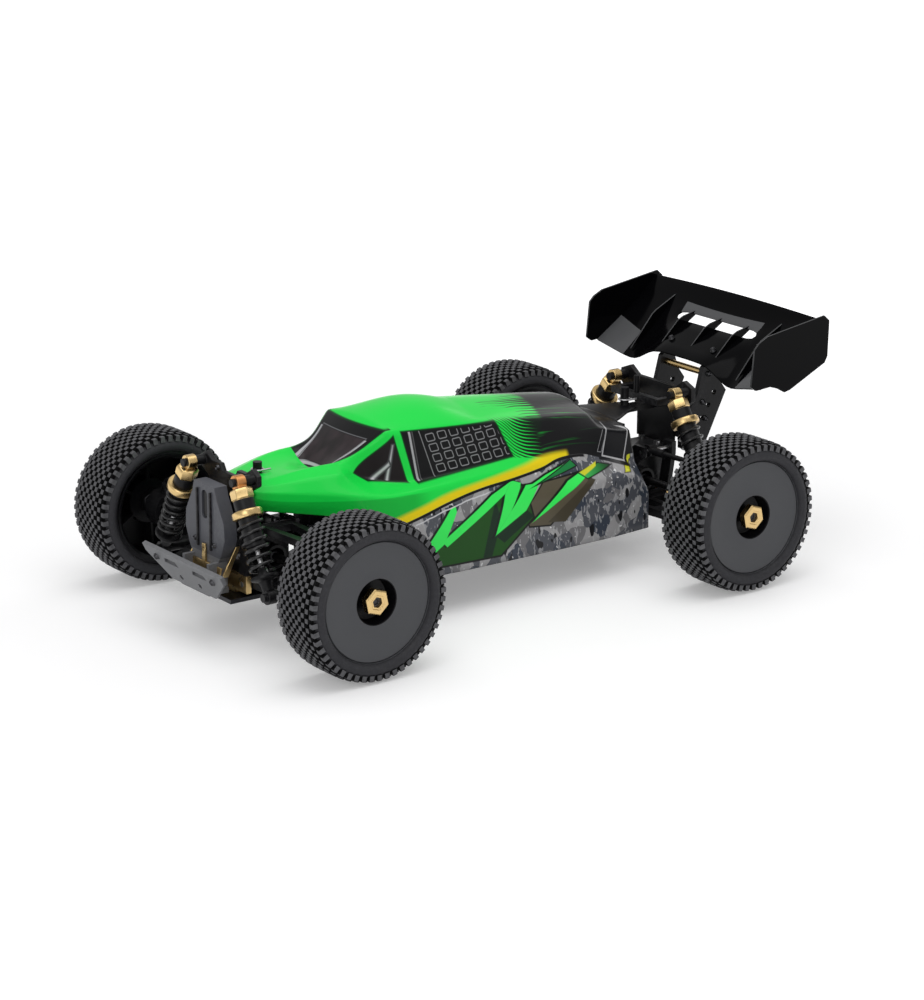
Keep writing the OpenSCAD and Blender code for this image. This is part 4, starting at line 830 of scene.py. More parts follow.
def islands(bm):
    """The separate solids of a mesh, as lists of faces."""
    seen, found = set(), []
    for face in bm.faces:
        if face in seen:
            continue
        group, queue = [], [face]
        seen.add(face)
        while queue:
            one = queue.pop()
            group.append(one)
            for edge in one.edges:
                for other in edge.link_faces:
                    if other not in seen:
                        seen.add(other)
                        queue.append(other)
        found.append(group)
    return found


def refined(node, finishes, pick=None, bevel=0.3, split=None, over=None):
    """A copy of a CAD node with rounded edges.

    pick gives each solid its finish by its middle and size, below 0 for none. split is a height
    at which the faces are cut, and over then gives each face its finish by its middle.
    """
    bm = bmesh.new()
    bm.from_mesh(frame["nodes"][node].data)
    bmesh.ops.transform(bm, matrix=CAR.inverted(), verts=bm.verts)
    bmesh.ops.remove_doubles(bm, verts=bm.verts, dist=0.002)
    bmesh.ops.dissolve_limit(bm, angle_limit=math.radians(0.5), verts=bm.verts, edges=bm.edges)
    if pick:
        for group in islands(bm):
            corners = [v.co for f in group for v in f.verts]
            low = Vector(map(min, zip(*corners)))
            high = Vector(map(max, zip(*corners)))
            finish = pick((low + high) / 2, high - low)
            if finish < 0:
                bmesh.ops.delete(bm, geom=group, context="FACES")
            else:
                paint_faces(group, finish)
    if split is not None:
        geometry = bm.verts[:] + bm.edges[:] + bm.faces[:]
        bmesh.ops.bisect_plane(
            bm, geom=geometry, dist=0.001, plane_co=(0, 0, split), plane_no=(0, 0, 1)
        )
        for face in bm.faces:
            face.material_index = over(face.calc_center_median(), face.material_index)
    piece = finish_mesh(bm, f"{node}_finished", BODY_OF[node], finishes, turn_out=False)
    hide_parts(node)
    if bevel:
        bevelled(piece, bevel)
    return piece


def screw_head(bm, at, way, size=2.6):
    """A round screw head with a hexagonal socket."""
    turn = Vector(way).to_track_quat("Z", "Y").to_matrix().to_4x4()
    known = set(bm.verts)
    made = bmesh.ops.create_cone(
        bm, cap_ends=True, segments=18, radius1=size, radius2=size * 0.72, depth=size * 0.7
    )["verts"]
    bmesh.ops.translate(bm, vec=(0, 0, size * 0.35), verts=made)
    top = max({f for v in made for f in v.link_faces}, key=lambda f: f.calc_center_median().z)
    bmesh.ops.inset_region(bm, faces=[top], thickness=size * 0.28)
    bmesh.ops.translate(bm, vec=(0, 0, -size * 0.4), verts=top.verts)
    fresh = [v for v in bm.verts if v not in known]
    bmesh.ops.transform(bm, matrix=Matrix.Translation(at) @ turn, verts=fresh)


# ------------------------------------------------------------------ the shell

SHELL_STATIONS = (
    (-176, ((22, 89), (23.5, 94), (22.5, 101.5), (19, 104.5), (12, 105.6), (6, 106), (0, 106.2))),
    (-160, ((30, 86.5), (31.5, 92), (31, 100.5), (27, 104.8), (19, 107.2), (9, 107.4), (0, 107.2))),
    (-135, ((40, 83), (41.5, 88.5), (41, 98), (34.5, 108.0), (24, 112.6), (11, 110.4), (0, 109.2))),
    (-114, ((49, 79), (50.5, 85), (50, 95.2), (39, 108.4), (25.5, 113.0), (12, 103.8), (0, 102.2))),
    (-97, ((56, 76), (57.5, 81.5), (54.5, 93), (30, 102), (27, 115.5), (13.5, 116.5), (0, 117))),
    (-84, ((61.5, 70), (61.5, 74), (57.5, 91.3), (38, 98.7), (33, 126), (17, 128.5), (0, 129.5))),
    (-76, ((64, 50), (63.5, 70), (57, 91.3), (43, 97), (36.5, 132), (18, 135), (0, 136))),
    (-62, ((66, 30.2), (64.3, 70), (57.5, 92), (46, 96), (38.5, 130.5), (20, 138), (0, 140.5))),
    (-28, ((66.4, 30.2), (64, 70), (57.5, 93), (47, 98), (40.5, 129), (22, 141.5), (0, 145.4))),
    (2, ((66.4, 30.2), (64, 70), (57, 93.5), (47.5, 100), (41.5, 126.5), (22, 132.5), (0, 137))),
    (20, ((66.4, 30.2), (64, 70.5), (56.5, 93.8), (47.8, 100.8), (41, 124.5), (24, 130), (0, 134.5))),
    (38, ((66.4, 30.2), (64, 71), (56, 94), (48, 101.5), (40, 122.5), (22, 128.8), (0, 132))),
    (60, ((66.4, 30.2), (64.4, 72.5), (55, 93), (48, 104), (39, 120.5), (20, 126.5), (0, 129.8))),
    (85, ((66.4, 30.3), (65, 74), (53.5, 90), (46.5, 107.5), (37, 118), (18, 124.5), (0, 127))),
    (104, ((66.4, 30.5), (66, 75.5), (52, 87), (46.5, 107), (34.5, 115.8), (17, 122), (0, 124))),
    (113, ((66.4, 31), (66, 76), (51, 85.5), (46, 105.6), (33, 109.5), (16, 109), (0, 109))),
    (125, ((66.4, 31.5), (66, 75), (50, 82.5), (44.5, 102), (30, 105.5), (14, 106), (0, 106.2))),
    (136, ((66.4, 32), (66, 60), (49.5, 78), (42.5, 100.5), (27, 104.2), (13, 105.6), (0, 105.9))),
)


def make_shell():
    """The painted shell: half is lofted nose to tail, mirrored, creased and smoothed."""
    bm = bmesh.new()
    sheet_of_rows(bm, [[(x, y, z) for x, z in points] for y, points in SHELL_STATIONS])
    crease = bm.edges.layers.float.new("crease_edge")
    bm.verts.ensure_lookup_table()
    stations = {round(y, 1): i for i, (y, _) in enumerate(SHELL_STATIONS)}
    position = {}
    for y, points in SHELL_STATIONS:
        for row, (x, z) in enumerate(points):
            position[(round(x, 2), y, round(z, 2))] = (stations[round(y, 1)], row)
    for edge in bm.edges:
        ends = [position[(round(v.co.x, 2), round(v.co.y), round(v.co.z, 2))] for v in edge.verts]
        (s0, r0), (s1, r1) = sorted(ends)
        if r0 == r1:  # runs nose to tail
            edge[crease] = {1: 0.35, 2: 0.85, 3: 0.75, 4: 0.6}.get(r0, 0.0)
            if r0 == 0:
                edge[crease] = 1.0
            if r0 == 1 and SHELL_STATIONS[s0][0] >= 60:
                edge[crease] = 0.9
            if r0 == 4 and -120 < SHELL_STATIONS[s0][0] < 10:
                edge[crease] = 0.8
        elif s0 == s1:
            y = SHELL_STATIONS[s0][0]
            if y == -114 and min(r0, r1) >= 3:
                edge[crease] = 0.8
            if y == -76 and min(r0, r1) >= 4:
                edge[crease] = 0.65
            if y in (-176, 136):
                edge[crease] = 1.0
            if y == 104:
                edge[crease] = 0.3 if max(r0, r1) <= 3 else 0.8
            if y == 2 and min(r0, r1) >= 4:
                edge[crease] = 0.6
    bmesh.ops.mirror(bm, geom=bm.verts[:] + bm.edges[:] + bm.faces[:], axis="X", merge_dist=0.01)
    finishes = ["shell_paint", "shell_inside"]
    shell = finish_mesh(
        bm, "painted_shell", "chassis", finishes, math.radians(80)
    )
    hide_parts("body_shell")
    smoothed(shell, 3)
    walled(shell, 1.2, 1)

    bm = bmesh.new()
    tail = [  # y, half width, height of the edge and of the crown
        (135.0, 27, 103.9, 105.7), (142, 24, 104.2, 105.7), (150, 19, 104.6, 105.8),
        (160, 13, 105.0, 105.9), (168, 11, 105.2, 105.9), (171.8, 8, 105.3, 105.8),
    ]
    across = (-1, -0.6, -0.2, 0.2, 0.6, 1)
    sheet_of_rows(bm, [
        [(half * t, y, low + (top - low) * (1 - t * t)) for t in across]
        for y, half, low, top in tail
    ])
    finishes = ["deck_black", "shell_inside"]
    piece = finish_mesh(bm, "shell_tail", "chassis", finishes, math.radians(60))
    smoothed(piece, 2)
    walled(piece, 1.2, 1)


# ------------------------------------------------------------------ wheels


PIN_PITCH = 3.45
# Profiles are pairs of the place along the axle and the radius
CARCASS = [
    (0, 51.9), (9, 51.8), (15, 51.3), (18.4, 50.4), (20.6, 48.4), (21.7, 46.0), (21.6, 44.2),
    (20.7, 42.9), (19.4, 42.1), (18.0, 41.8), (16.5, 41.7), (16.5, 39.2),
]
RIM_PROFILE = [
    (-19.4, 40.0), (-19.4, 38.6), (-17.5, 36.4), (14.5, 36.4), (15.4, 30), (15.4, 17.4),
    (4.6, 16.4), (4.0, 10), (4.0, 3.3), (6.0, 3.3), (6.0, 13.2), (6.6, 14.2), (15.6, 15.2),
    (16.6, 15.5), (17.0, 16.0), (17.0, 16.6), (16.8, 17.0), (16.9, 28), (17.4, 38.9),
    (17.8, 39.9), (17.8, 40.4), (17.5, 40.7), (16.2, 40.8), (16.0, 41.0), (16.0, 41.3),
    (17.6, 41.4), (18.3, 41.5), (18.2, 41.75), (16.4, 41.75), (16.2, 38.9), (-17.2, 38.8),
    (-18.4, 39.9),
]
NUT_PROFILE = [
    (12.6, 5.4), (12.6, 9.3), (12.9, 9.55), (17.7, 9.55), (18.6, 8.5), (18.6, 5.6), (18.1, 5.2),
    (18.1, 3.9), (17.0, 3.7), (12.6, 3.7),
]
STUD_PROFILE = [
    (6.5, 0), (6.5, 5.6), (12.7, 5.6), (12.7, 3.8), (16.2, 3.5), (16.2, 2.0), (15.2, 1.7),
    (15.2, 0),
]


def tyre_mesh(settings):
    """Carcass with staggered columns of square pins, round the X axis at the origin."""
    bm = bmesh.new()
    ring = CARCASS + [(-a, r) for a, r in reversed(CARCASS)]
    spin_profile(bm, ring, steps=96)
    # The tread floor between the pins is near black: painted shade in the gaps.
    paint_faces([f for f in bm.faces if f.calc_center_median().yz.length > 50.2], 2)
    pin, high = settings.pin_size / MM, settings.pin_height / MM
    turn = math.tau / settings.pins
    carcass_verts = set(bm.verts)
    placed = set(carcass_verts)
    for row in range(settings.rows):
        across = (row - (settings.rows - 1) / 2) * PIN_PITCH
        drop = max(0.0, abs(across) - 10) ** 1.5 * 0.075
        foot, top = 51.2 - drop, min(51.9 + high - drop, WHEEL_R - 0.06)
        made = bmesh.ops.create_cube(bm, size=1)["verts"]
        for vert in made:
            below = vert.co.z < 0
            half = pin * (0.5 if below else 0.44)
            away, along_row = math.copysign(half, vert.co.x), math.copysign(half, vert.co.y)
            vert.co = (across + away, along_row, foot if below else top)
        faces = {f for v in made for f in v.link_faces}
        bottom = min(faces, key=lambda f: f.calc_center_median().z)
        lid = max(faces, key=lambda f: f.calc_center_median().z)
        # Pin sides are near black too, painted shade between the pins; their tops are paler.
        paint_faces(faces, 2)
        if abs(across) > 17:  # the outer face of the last pins gets the pale colour of the pin tops too
            sign = math.copysign(1, across)
            outer = [f for f in faces if f.calc_center_median().x * sign > abs(across) + 1]
            paint_faces(outer, 1)
        paint_faces([lid], 1)
        bmesh.ops.delete(bm, geom=[bottom], context="FACES_ONLY")
        rounded = bmesh.ops.bevel(
            bm, geom=list(lid.edges), offset=0.28, segments=1, affect="EDGES", profile=0.5,
            material=-1,
        )
        paint_faces(rounded["faces"], 1)
        column = [v for v in bm.verts if v not in placed]
        if row % 2:
            half_turn = Matrix.Rotation(turn / 2, 3, "X")
            bmesh.ops.rotate(bm, verts=column, cent=(0, 0, 0), matrix=half_turn)
        placed.update(column)
    pins = [v for v in bm.verts if v not in carcass_verts]
    geometry = pins + list({e for v in pins for e in v.link_edges})
    geometry += list({f for v in pins for f in v.link_faces})
    bmesh.ops.spin(
        bm, geom=geometry, cent=(0, 0, 0), axis=(1, 0, 0), angle=math.tau - turn,
        steps=settings.pins - 1, use_duplicate=True,
    )
    return bm


def rim_mesh():
    """Dished wheel with a recessed cup, a barrel and six ribs, outboard towards +X."""
    bm = bmesh.new()
    spin_profile(bm, RIM_PROFILE, steps=96)
    for face in bm.faces:
        at = face.calc_center_median()
        if at.yz.length < 15.8 or at.x < 15.5:
            face.material_index = 1
    for index in range(6):
        turn = Matrix.Rotation(math.tau * index / 6, 4, "X")
        block(bm, (4.2, -0.9, 16.4), (15.6, 0.9, 36.8), 1, turn)
    return bm


def without_nut(mid, size):
    """Drops the solids outboard of the wheel's middle, where a finished nut takes their place."""
    return -1 if abs(mid.x) > WHEEL_X + 5 else 0


def make_wheels(settings):
    """Four tyres and rims, the stub axles and their gold nuts."""
    tyre, rim = tyre_mesh(settings), rim_mesh()
    for end in ENDS:
        for side, sign in SIDES:
            at = Matrix.Translation((sign * WHEEL_X, AXLE_Y[end], AXLE_Z))
            flip = Matrix.Diagonal((sign, 1, 1, 1))
            spin = Matrix.Rotation(math.radians({"front": 3, "rear": 17}[end]), 4, "X")
            for mesh, word, finishes, slot in (
                (tyre, "tyre", ["tyre_rubber", "tread_pins", "tread_painted_shade"], "tyre_rubber"),
                (rim, "rim", ["rim_nylon", "cup_black"], "tyre_rubber"),
            ):
                copy = mesh.copy()
                bmesh.ops.transform(copy, matrix=at @ spin @ flip, verts=copy.verts)
                wheel = f"wheel_{end}_{side}"
                piece = finish_mesh(copy, f"{word}_{end}_{side}", wheel, finishes)
                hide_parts(wheel)
            node = f"axle_{end}_{side}"
            refined(node, ["dark_steel"], without_nut, 0.4)
            bm = bmesh.new()
            spin_profile(bm, NUT_PROFILE, steps=6)
            spin_profile(bm, STUD_PROFILE, steps=30, finish=1, closed=False)
            turn = Matrix.Rotation(math.radians(12), 4, "X")
            bmesh.ops.transform(bm, matrix=at @ turn @ flip, verts=bm.verts)
            finishes = ["gold_anodised", "dark_steel"]
            name = f"wheel_nut_{end}_{side}"
            nut = finish_mesh(bm, name, BODY_OF[node], finishes)
            bevelled(nut, 0.35, 25)
    tyre.free()
    rim.free()


# ------------------------------------------------------------------ bumper


GUARD_FROM = 58  # height at which the bumper turns into its guard


def make_bumper():
    """Bumper plate and guard, with the guard's black ribs and slot."""
    refined(
        "front_bumper", ["slate_nylon", "guard_nylon"], bevel=0.5,
        split=GUARD_FROM, over=lambda at, known: int(at.z > GUARD_FROM),
    )
    face = AXLE_Y["front"] - 39.6
    bm = bmesh.new()
    plate(bm, [(-20, 47), (20, 47), (22, 52.5), (-22, 52.5)], face, face + 1.4, "Y")
    plate(bm, [(-2.4, 52), (2.4, 52), (2.0, 65), (-2.0, 65)], face, face + 1.4, "Y")
    for x in (-23.6, 22.2):
        plate(bm, [(face, 46), (face + 5, 46), (face + 15, 66), (face + 11.5, 66)], x, x + 1.4)
    bevelled(finish_mesh(bm, "guard_brace", "chassis", ["gold_anodised"]), 0.3)
    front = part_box("front_bumper")[0].y / MM - MID_Y
    guard = AXLE_Y["front"] - 38
    bm = bmesh.new()
    for x in (-9.2, 7.3):
        block(bm, (x, guard - 1.5, 61.5), (x + 1.9, guard + 0.4, 102.5))
    outline = []
    for step in range(16):
        angle = math.tau * step / 16
        lift = 99 if math.sin(angle) >= 0 else 86
        outline.append((2.9 * math.cos(angle), lift + 2.9 * math.sin(angle)))
    plate(bm, outline, guard + 1.1, guard + 4.2, "Y")
    bevelled(finish_mesh(bm, "guard_ribs", "chassis", ["satin_black"]), 0.4)
    bm = bmesh.new()
    for x in (-36, 36):
        screw_head(bm, (x, front + 3.2, 49.5), (0, -0.9, -0.43), 2.6)
    for x in (-12, 12):
        screw_head(bm, (x, guard - 0.1, 66), (0, -1, 0), 2.0)
    finish_mesh(bm, "bumper_screws", "chassis", ["dark_steel"])


# ------------------------------------------------------------------ shock absorbers


EYE_R, EYE_PIN_R = 5.0, 2.9
# Profiles of the gold cap and collar: pairs of the distance from the top eye and the radius
SHOCK_CAP = [
    (4.2, 0), (4.2, 5.6), (5.0, 7.2), (6.2, 7.9), (11.2, 7.9), (12.0, 7.3), (13.0, 7.3), (13.0, 0),
]
COLLAR = [
    (19.8, 7.35), (19.8, 9.7), (20.3, 10.4), (21.0, 10.6), (24.2, 10.6), (24.9, 10.3), (25.2, 9.5),
    (25.2, 7.35),
]


def shock_ends(end, side):
    """Top and bottom eye of a shock absorber, from the joints that it turns on."""
    joints = {j["name"]: j for j in frame["joints"]}
    top = Vector(joints[f"shock_body_{end}_{side}_pivot"]["pos_m"]) / MM
    top.y -= MID_Y
    axis = -Vector(joints[f"shock_shaft_{end}_{side}_stroke"]["axis"])
    low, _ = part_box(f"shock_shaft_{end}_{side}")
    reach = (top.z - (low.z / MM + 5)) / -axis.z
    return top, top + axis * reach


def make_shocks(settings):
    """Shock absorbers: gold caps and collars, dark cylinders, coils, shafts and spring cups."""
    for end in ENDS:
        for side, _ in SIDES:
            top, foot = shock_ends(end, side)
            long = (foot - top).length
            down = (foot - top) / long
            forth = Vector((0, 1, 0))
            turn = Matrix((forth.cross(down), forth, down)).transposed().to_4x4()
            place = Matrix.Translation(top) @ turn
            name = f"{end}_{side}"
            body_end = long - 34
            bm = bmesh.new()
            spin_profile(bm, SHOCK_CAP, "Z", steps=6, closed=False)
            spin_profile(bm, [
                (12.2, 0), (12.2, 7.25), (12.6, 7.3), (body_end - 4.2, 7.3), (body_end - 4.2, 0),
            ], "Z", steps=48, finish=1, closed=False)
            spin_profile(bm, [
                (body_end - 4.6, 0), (body_end - 4.6, 7.28), (body_end - 1, 7.28),
                (body_end, 6.3), (body_end, 0),
            ], "Z", steps=36, finish=1, closed=False)
            spin_profile(bm, COLLAR, "Z", steps=48)
            rod(bm, (0, -3.45, 0), (0, 3.45, 0), EYE_R, segments=32, finish=2)
            rod(bm, (0, -3.6, 0), (0, 3.6, 0), EYE_PIN_R, segments=24, finish=3)
            block(bm, (-3.8, -3.4, 0.5), (3.8, 3.4, 6.0), 2)
            bmesh.ops.transform(bm, matrix=place, verts=bm.verts)
            near = "copper_anodised" if name == "front_left" else "gold_anodised"
            finishes = ["gold_anodised", "satin_black", near, "dark_steel"]
            body = f"shock_body_{name}"
            piece = finish_mesh(bm, f"shock_cylinder_{name}", body, finishes)
            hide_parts(body)
            bevelled(piece, 0.3)

            bm = bmesh.new()
            rod(bm, (0, 0, body_end - 15), (0, 0, long - 8), 1.75, segments=24, finish=0)
            spin_profile(bm, [
                (long - 15, 2.0), (long - 15, 9.3), (long - 14.2, 9.55), (long - 12.8, 9.5),
                (long - 12.2, 8.6), (long - 11, 5.4), (long - 8, 4.2), (long - 4, 3.9),
                (long - 4, 0), (long - 15, 0),
            ], "Z", steps=40, finish=1, closed=False)
            rod(bm, (0, -3.45, long), (0, 3.45, long), EYE_R, segments=32, finish=1)
            rod(bm, (0, -3.6, long), (0, 3.6, long), EYE_PIN_R, segments=24, finish=2)
            if end == "front":
                spin_profile(bm, [
                    (long - 20.5, 0), (long - 20.5, 3.0), (long - 15.2, 4.4), (long - 15.2, 0),
                ], "Z", steps=30, finish=1, closed=False)
            bmesh.ops.transform(bm, matrix=place, verts=bm.verts)
            finishes = ["steel", "satin_black", "dark_steel"]
            shaft = f"shock_shaft_{name}"
            piece = finish_mesh(bm, f"shock_rod_{name}", shaft, finishes)
            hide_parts(shaft)
            bevelled(piece, 0.3)

            wire = settings.wire / MM / 2
            mean = 9.55 - wire
            start, stop = 25.2 + wire + 0.1, long - 15 - wire - 0.1
            turns = settings.turns
            steps = int(turns * 26)
            bm = bmesh.new()
            ring = bmesh.ops.create_circle(bm, cap_ends=False, segments=10, radius=wire)["verts"]
            upright = Matrix.Rotation(math.pi / 2, 3, "X")
            bmesh.ops.rotate(bm, verts=ring, cent=(0, 0, 0), matrix=upright)
            bmesh.ops.translate(bm, vec=(mean, 0, start), verts=ring)
            loop = list({e for v in ring for e in v.link_edges})
            bmesh.ops.holes_fill(bm, edges=loop)
            ends = bmesh.ops.spin(
                bm, geom=list(bm.verts) + list(bm.edges), cent=(0, 0, 0), axis=(0, 0, 1),
                dvec=(0, 0, (stop - start) / steps), angle=math.tau * turns, steps=steps,
            )["geom_last"]
            bmesh.ops.holes_fill(bm, edges=[g for g in ends if isinstance(g, bmesh.types.BMEdge)])
            bmesh.ops.transform(bm, matrix=place, verts=bm.verts)
            coil = finish_mesh(bm, f"coil_{name}", None, ["spring_coat"])
            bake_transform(coil)
            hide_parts(f"spring_{name}")


# ------------------------------------------------------------------ wing


# Rows of the flap: distance behind the wing's origin and its sweep, height and its curl
WING_FLAP = ((45.8, 2.2, 161.0, 6.0), (50.4, 1.6, 168.8, 1.6), (54.2, 0.8, 176.3, -2.3))
# Outlines of the end plates (y, z) and of the plates on the wing (distance behind, z)
WING_END = [
    (207.8, 160.6), (212, 164.9), (220, 168.8), (275.3, 177.2), (280.3, 172.8), (279.6, 146),
    (277, 141.2), (243.5, 125.6), (238, 124.4), (231, 128.3), (223.8, 130.6), (210, 129.6),
    (205.2, 133),
]
WING_FENCE = [(3, 128.5), (24, 153), (27.6, 155.7), (54, 168.9), (52, 165), (25, 141)]
WING_FIN = [(9, 139), (24, 153.5), (30, 156.5), (42, 159.0), (42, 155.5), (33, 150), (13, 139.5)]


def make_wing():
    """Rear wing: main panel with its two valleys, flap, fences, fins and end plates."""
    y = AXLE_Y["rear"] + 55
    half = [
        ((0, y, 134.8), (0, y + 17, 143.4), (0, y + 33, 151.5)),
        ((16, y - 0.2, 134.7), (16, y + 17, 143.4), (16, y + 33, 151.5)),
        ((30.3, y - 0.5, 134.3), (31, y + 16.6, 142.9), (33, y + 33, 151.4)),
        ((42, y + 0.4, 128.0), (43, y + 17.3, 139.5), (45, y + 33.2, 151.2)),
        ((53.3, y + 1, 121.8), (53.3, y + 18, 136.2), (53.3, y + 34, 151.4)),
        ((64, y - 0.5, 123.4), (66, y + 19, 138.0), (68, y + 37, 153.8)),
        ((80, y - 2, 127.0), (82, y + 21, 142.4), (84, y + 40, 157.6)),
        ((94.6, y - 2.5, 129.6), (94.6, y + 22, 145.8), (94.6, y + 43, 160.8)),
    ]
    lip = [
        (45.4, y + 40.2, 156.6), (54, y + 41.0, 157.6), (69, y + 42.6, 159.6),
        (84, y + 44.2, 162.2), (94.6, y + 46, 164.4),
    ]
    step = [(0, y + 40.2, 156.6), (14, y + 40.2, 156.6), (30, y + 40.2, 156.6)]
    bm = bmesh.new()
    sheet_of_rows(bm, [[column[level] for column in half] for level in range(3)])
    sheet_of_rows(bm, [[column[2] for column in half[3:]], lip])
    sheet_of_rows(bm, [
        step + lip,
        *(
            [
                (x, y + back + sweep * (x / 94.6) ** 2, rise + curl * (x / 94.6) ** 2)
                for x, *_ in step + lip
            ]
            for back, sweep, rise, curl in WING_FLAP
        ),
    ])
    # Faces at the flap's foot and on the outer nose get a lighter grey: a painted reflection of the studio light.
    for face in bm.faces:
        at = face.calc_center_median()
        flap_foot = at.x < 45 and y + 41 < at.y < y + 46
        outer_nose = at.x > 62 and at.y < y + 16
        face.material_index = int(flap_foot or outer_nose)
    bmesh.ops.mirror(bm, geom=bm.verts[:] + bm.edges[:] + bm.faces[:], axis="X", merge_dist=0.01)
    finishes = ["wing_gloss", "wing_painted_reflection"]
    main = finish_mesh(
        bm, "wing_panel", "chassis", finishes, math.radians(50)
    )
    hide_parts("rear_wing")
    smoothed(main, 1)
    walled(main, 1.5, offset=0)
    bevelled(main, 0.35, 60)

    bm = bmesh.new()
    for low, high in ((94.5, 96.4), (-96.4, -94.5)):
        plate(bm, WING_END, low, high)
    for x in (-61, 61):
        plate(bm, [(y + back, z) for back, z in WING_FENCE], x - 0.8, x + 0.8)
    for x in (-31, 0, 31):
        plate(bm, [(y + back, z) for back, z in WING_FIN], x - 0.7, x + 0.7)
    bmesh.ops.recalc_face_normals(bm, faces=bm.faces)
    # The plates' narrow edge faces get a lighter grey: a painted highlight along the edges.
    paint_faces([f for f in bm.faces if abs(f.normal.x) < 0.5], 1)
    finishes = ["wing_gloss", "wing_painted_edge_highlight"]
    bevelled(finish_mesh(bm, "wing_plates", "chassis", finishes), 0.45)

    def cross_bar(mid, size):
        return int(size.z < 8 and size.x > 30 and mid.z > 120)

    refined("wing_mount", ["satin_black", "gold_anodised"], cross_bar, 0.45)
    bm = bmesh.new()
    for x in (-26.2, 26.2):
        for spot in ((y + 7, 126), (y + 2, 105), (AXLE_Y["rear"] + 60, 92)):
            screw_head(bm, (x, spot[0], spot[1]), (math.copysign(1, x), 0, 0), 2.3)
    for x in (-24, 24):
        screw_head(bm, (x, y + 13, 142.6), (0, -0.45, 0.9), 2.6)
    finish_mesh(bm, "wing_screws", "chassis", ["dark_steel"])


# ------------------------------------------------------------------ chassis, drive and steering


# Node, finish, width of its rounded edges in mm and material slot
CHASSIS_NODES = (
    ("chassis_plate", "gunmetal", 0.5, "chassis_metal"),
    ("chassis_braces", "satin_black", 0.3, "black_plastic"),
    ("front_gearbox", "satin_black", 0.3, "black_plastic"),
    ("rear_gearbox", "satin_black", 0.3, "black_plastic"),
    ("front_shock_tower", "satin_black", 0.45, "grey_plastic"),
    ("rear_shock_tower", "satin_black", 0.45, "black_plastic"),
)
POWER_NODES = (
    ("motor", "gunmetal", 0.6, "motor_metal"),
    ("motor_pinion", "steel", 0.1, "steel"),
    ("centre_diff", "dark_steel", 0.15, "steel"),
    ("steering_servo", "satin_black", 0.3, "black_plastic"),
    ("battery_pack", "battery_case", 0.9, "battery_case"),
    ("electronics", "satin_black", 0.6, "black_plastic"),
)
HOLDER_BLACK_FROM = 46  # height above which a hinge holder is black


def refine_all(table):
    """Refines every node of a table."""
    for node, finish, bevel, slot in table:
        refined(node, [finish], bevel=bevel)


def make_chassis():
    """Plate, braces, gearboxes, towers and hinge holders."""
    refine_all(CHASSIS_NODES)
    refined(
        "hinge_holders", ["gold_anodised", "steel", "satin_black"],
        lambda mid, size: int(size.x < 7), 0.4, HOLDER_BLACK_FROM,
        lambda at, known: 2 if at.z > HOLDER_BLACK_FROM and known == 0 else known,
    )
    bm = bmesh.new()
    for end, v in (("front", -18.5), ("rear", 37.0)):
        way = -1 if end == "front" else 1
        for x, z in ((-13, 112), (13, 112), (-17, 88), (17, 88)):
            screw_head(bm, (x, AXLE_Y[end] + v, z), (0, way, 0), 2.2)
    finish_mesh(bm, "tower_screws", "chassis", ["dark_steel"])


def make_suspension():
    """Arms, links, uprights, steering parts and shafts."""
    for side, _ in SIDES:
        for node in ("lower_arm_front", "lower_arm_rear", "upper_arm_front"):
            refined(f"{node}_{side}", ["satin_black"], bevel=0.45)
        refined(f"upper_link_rear_{side}", ["satin_black"], bevel=0.2)
        refined(f"caster_block_{side}", ["satin_black"])
        for node in ("knuckle", "hub_carrier"):
            refined(
                f"{node}_{side}", ["satin_black", "steel"], lambda mid, size: int(size.x < 5.5),
            )
        refined(f"tie_rod_{side}", ["satin_black"], bevel=0.2)
        for end in ENDS:
            refined(f"driveshaft_{end}_{side}", ["dark_steel"], bevel=0.0)
    refined("servo_saver", ["satin_black"])
    refined("drag_link", ["gunmetal"])


def make_power():
    """Motor, gears, battery, servo and electronics."""
    refine_all(POWER_NODES)
    low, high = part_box("battery_pack")
    low, high = low / MM, high / MM
    bm = bmesh.new()
    block(
        bm, (low.x + 4, low.y - MID_Y + 42, high.z - 1.42),
        (high.x - 3, high.y - MID_Y - 42, high.z - 1.2),
    )
    finish_mesh(bm, "battery_label_panel", "chassis", ["bare_sticker"])


def make_hardware():
    """Body clips and screws that the CAD carries, in bright steel."""
    refined("fasteners", ["steel"], bevel=0.15)


# ------------------------------------------------------------------ stage


CAMERA_LENS, CAMERA_ROLL = 111.908, 0.218
CAMERA_AT = (1727.5, -1290.0, 698.0)  # mm
CAMERA_AHEAD = (-0.77081, 0.5694, -0.28572)


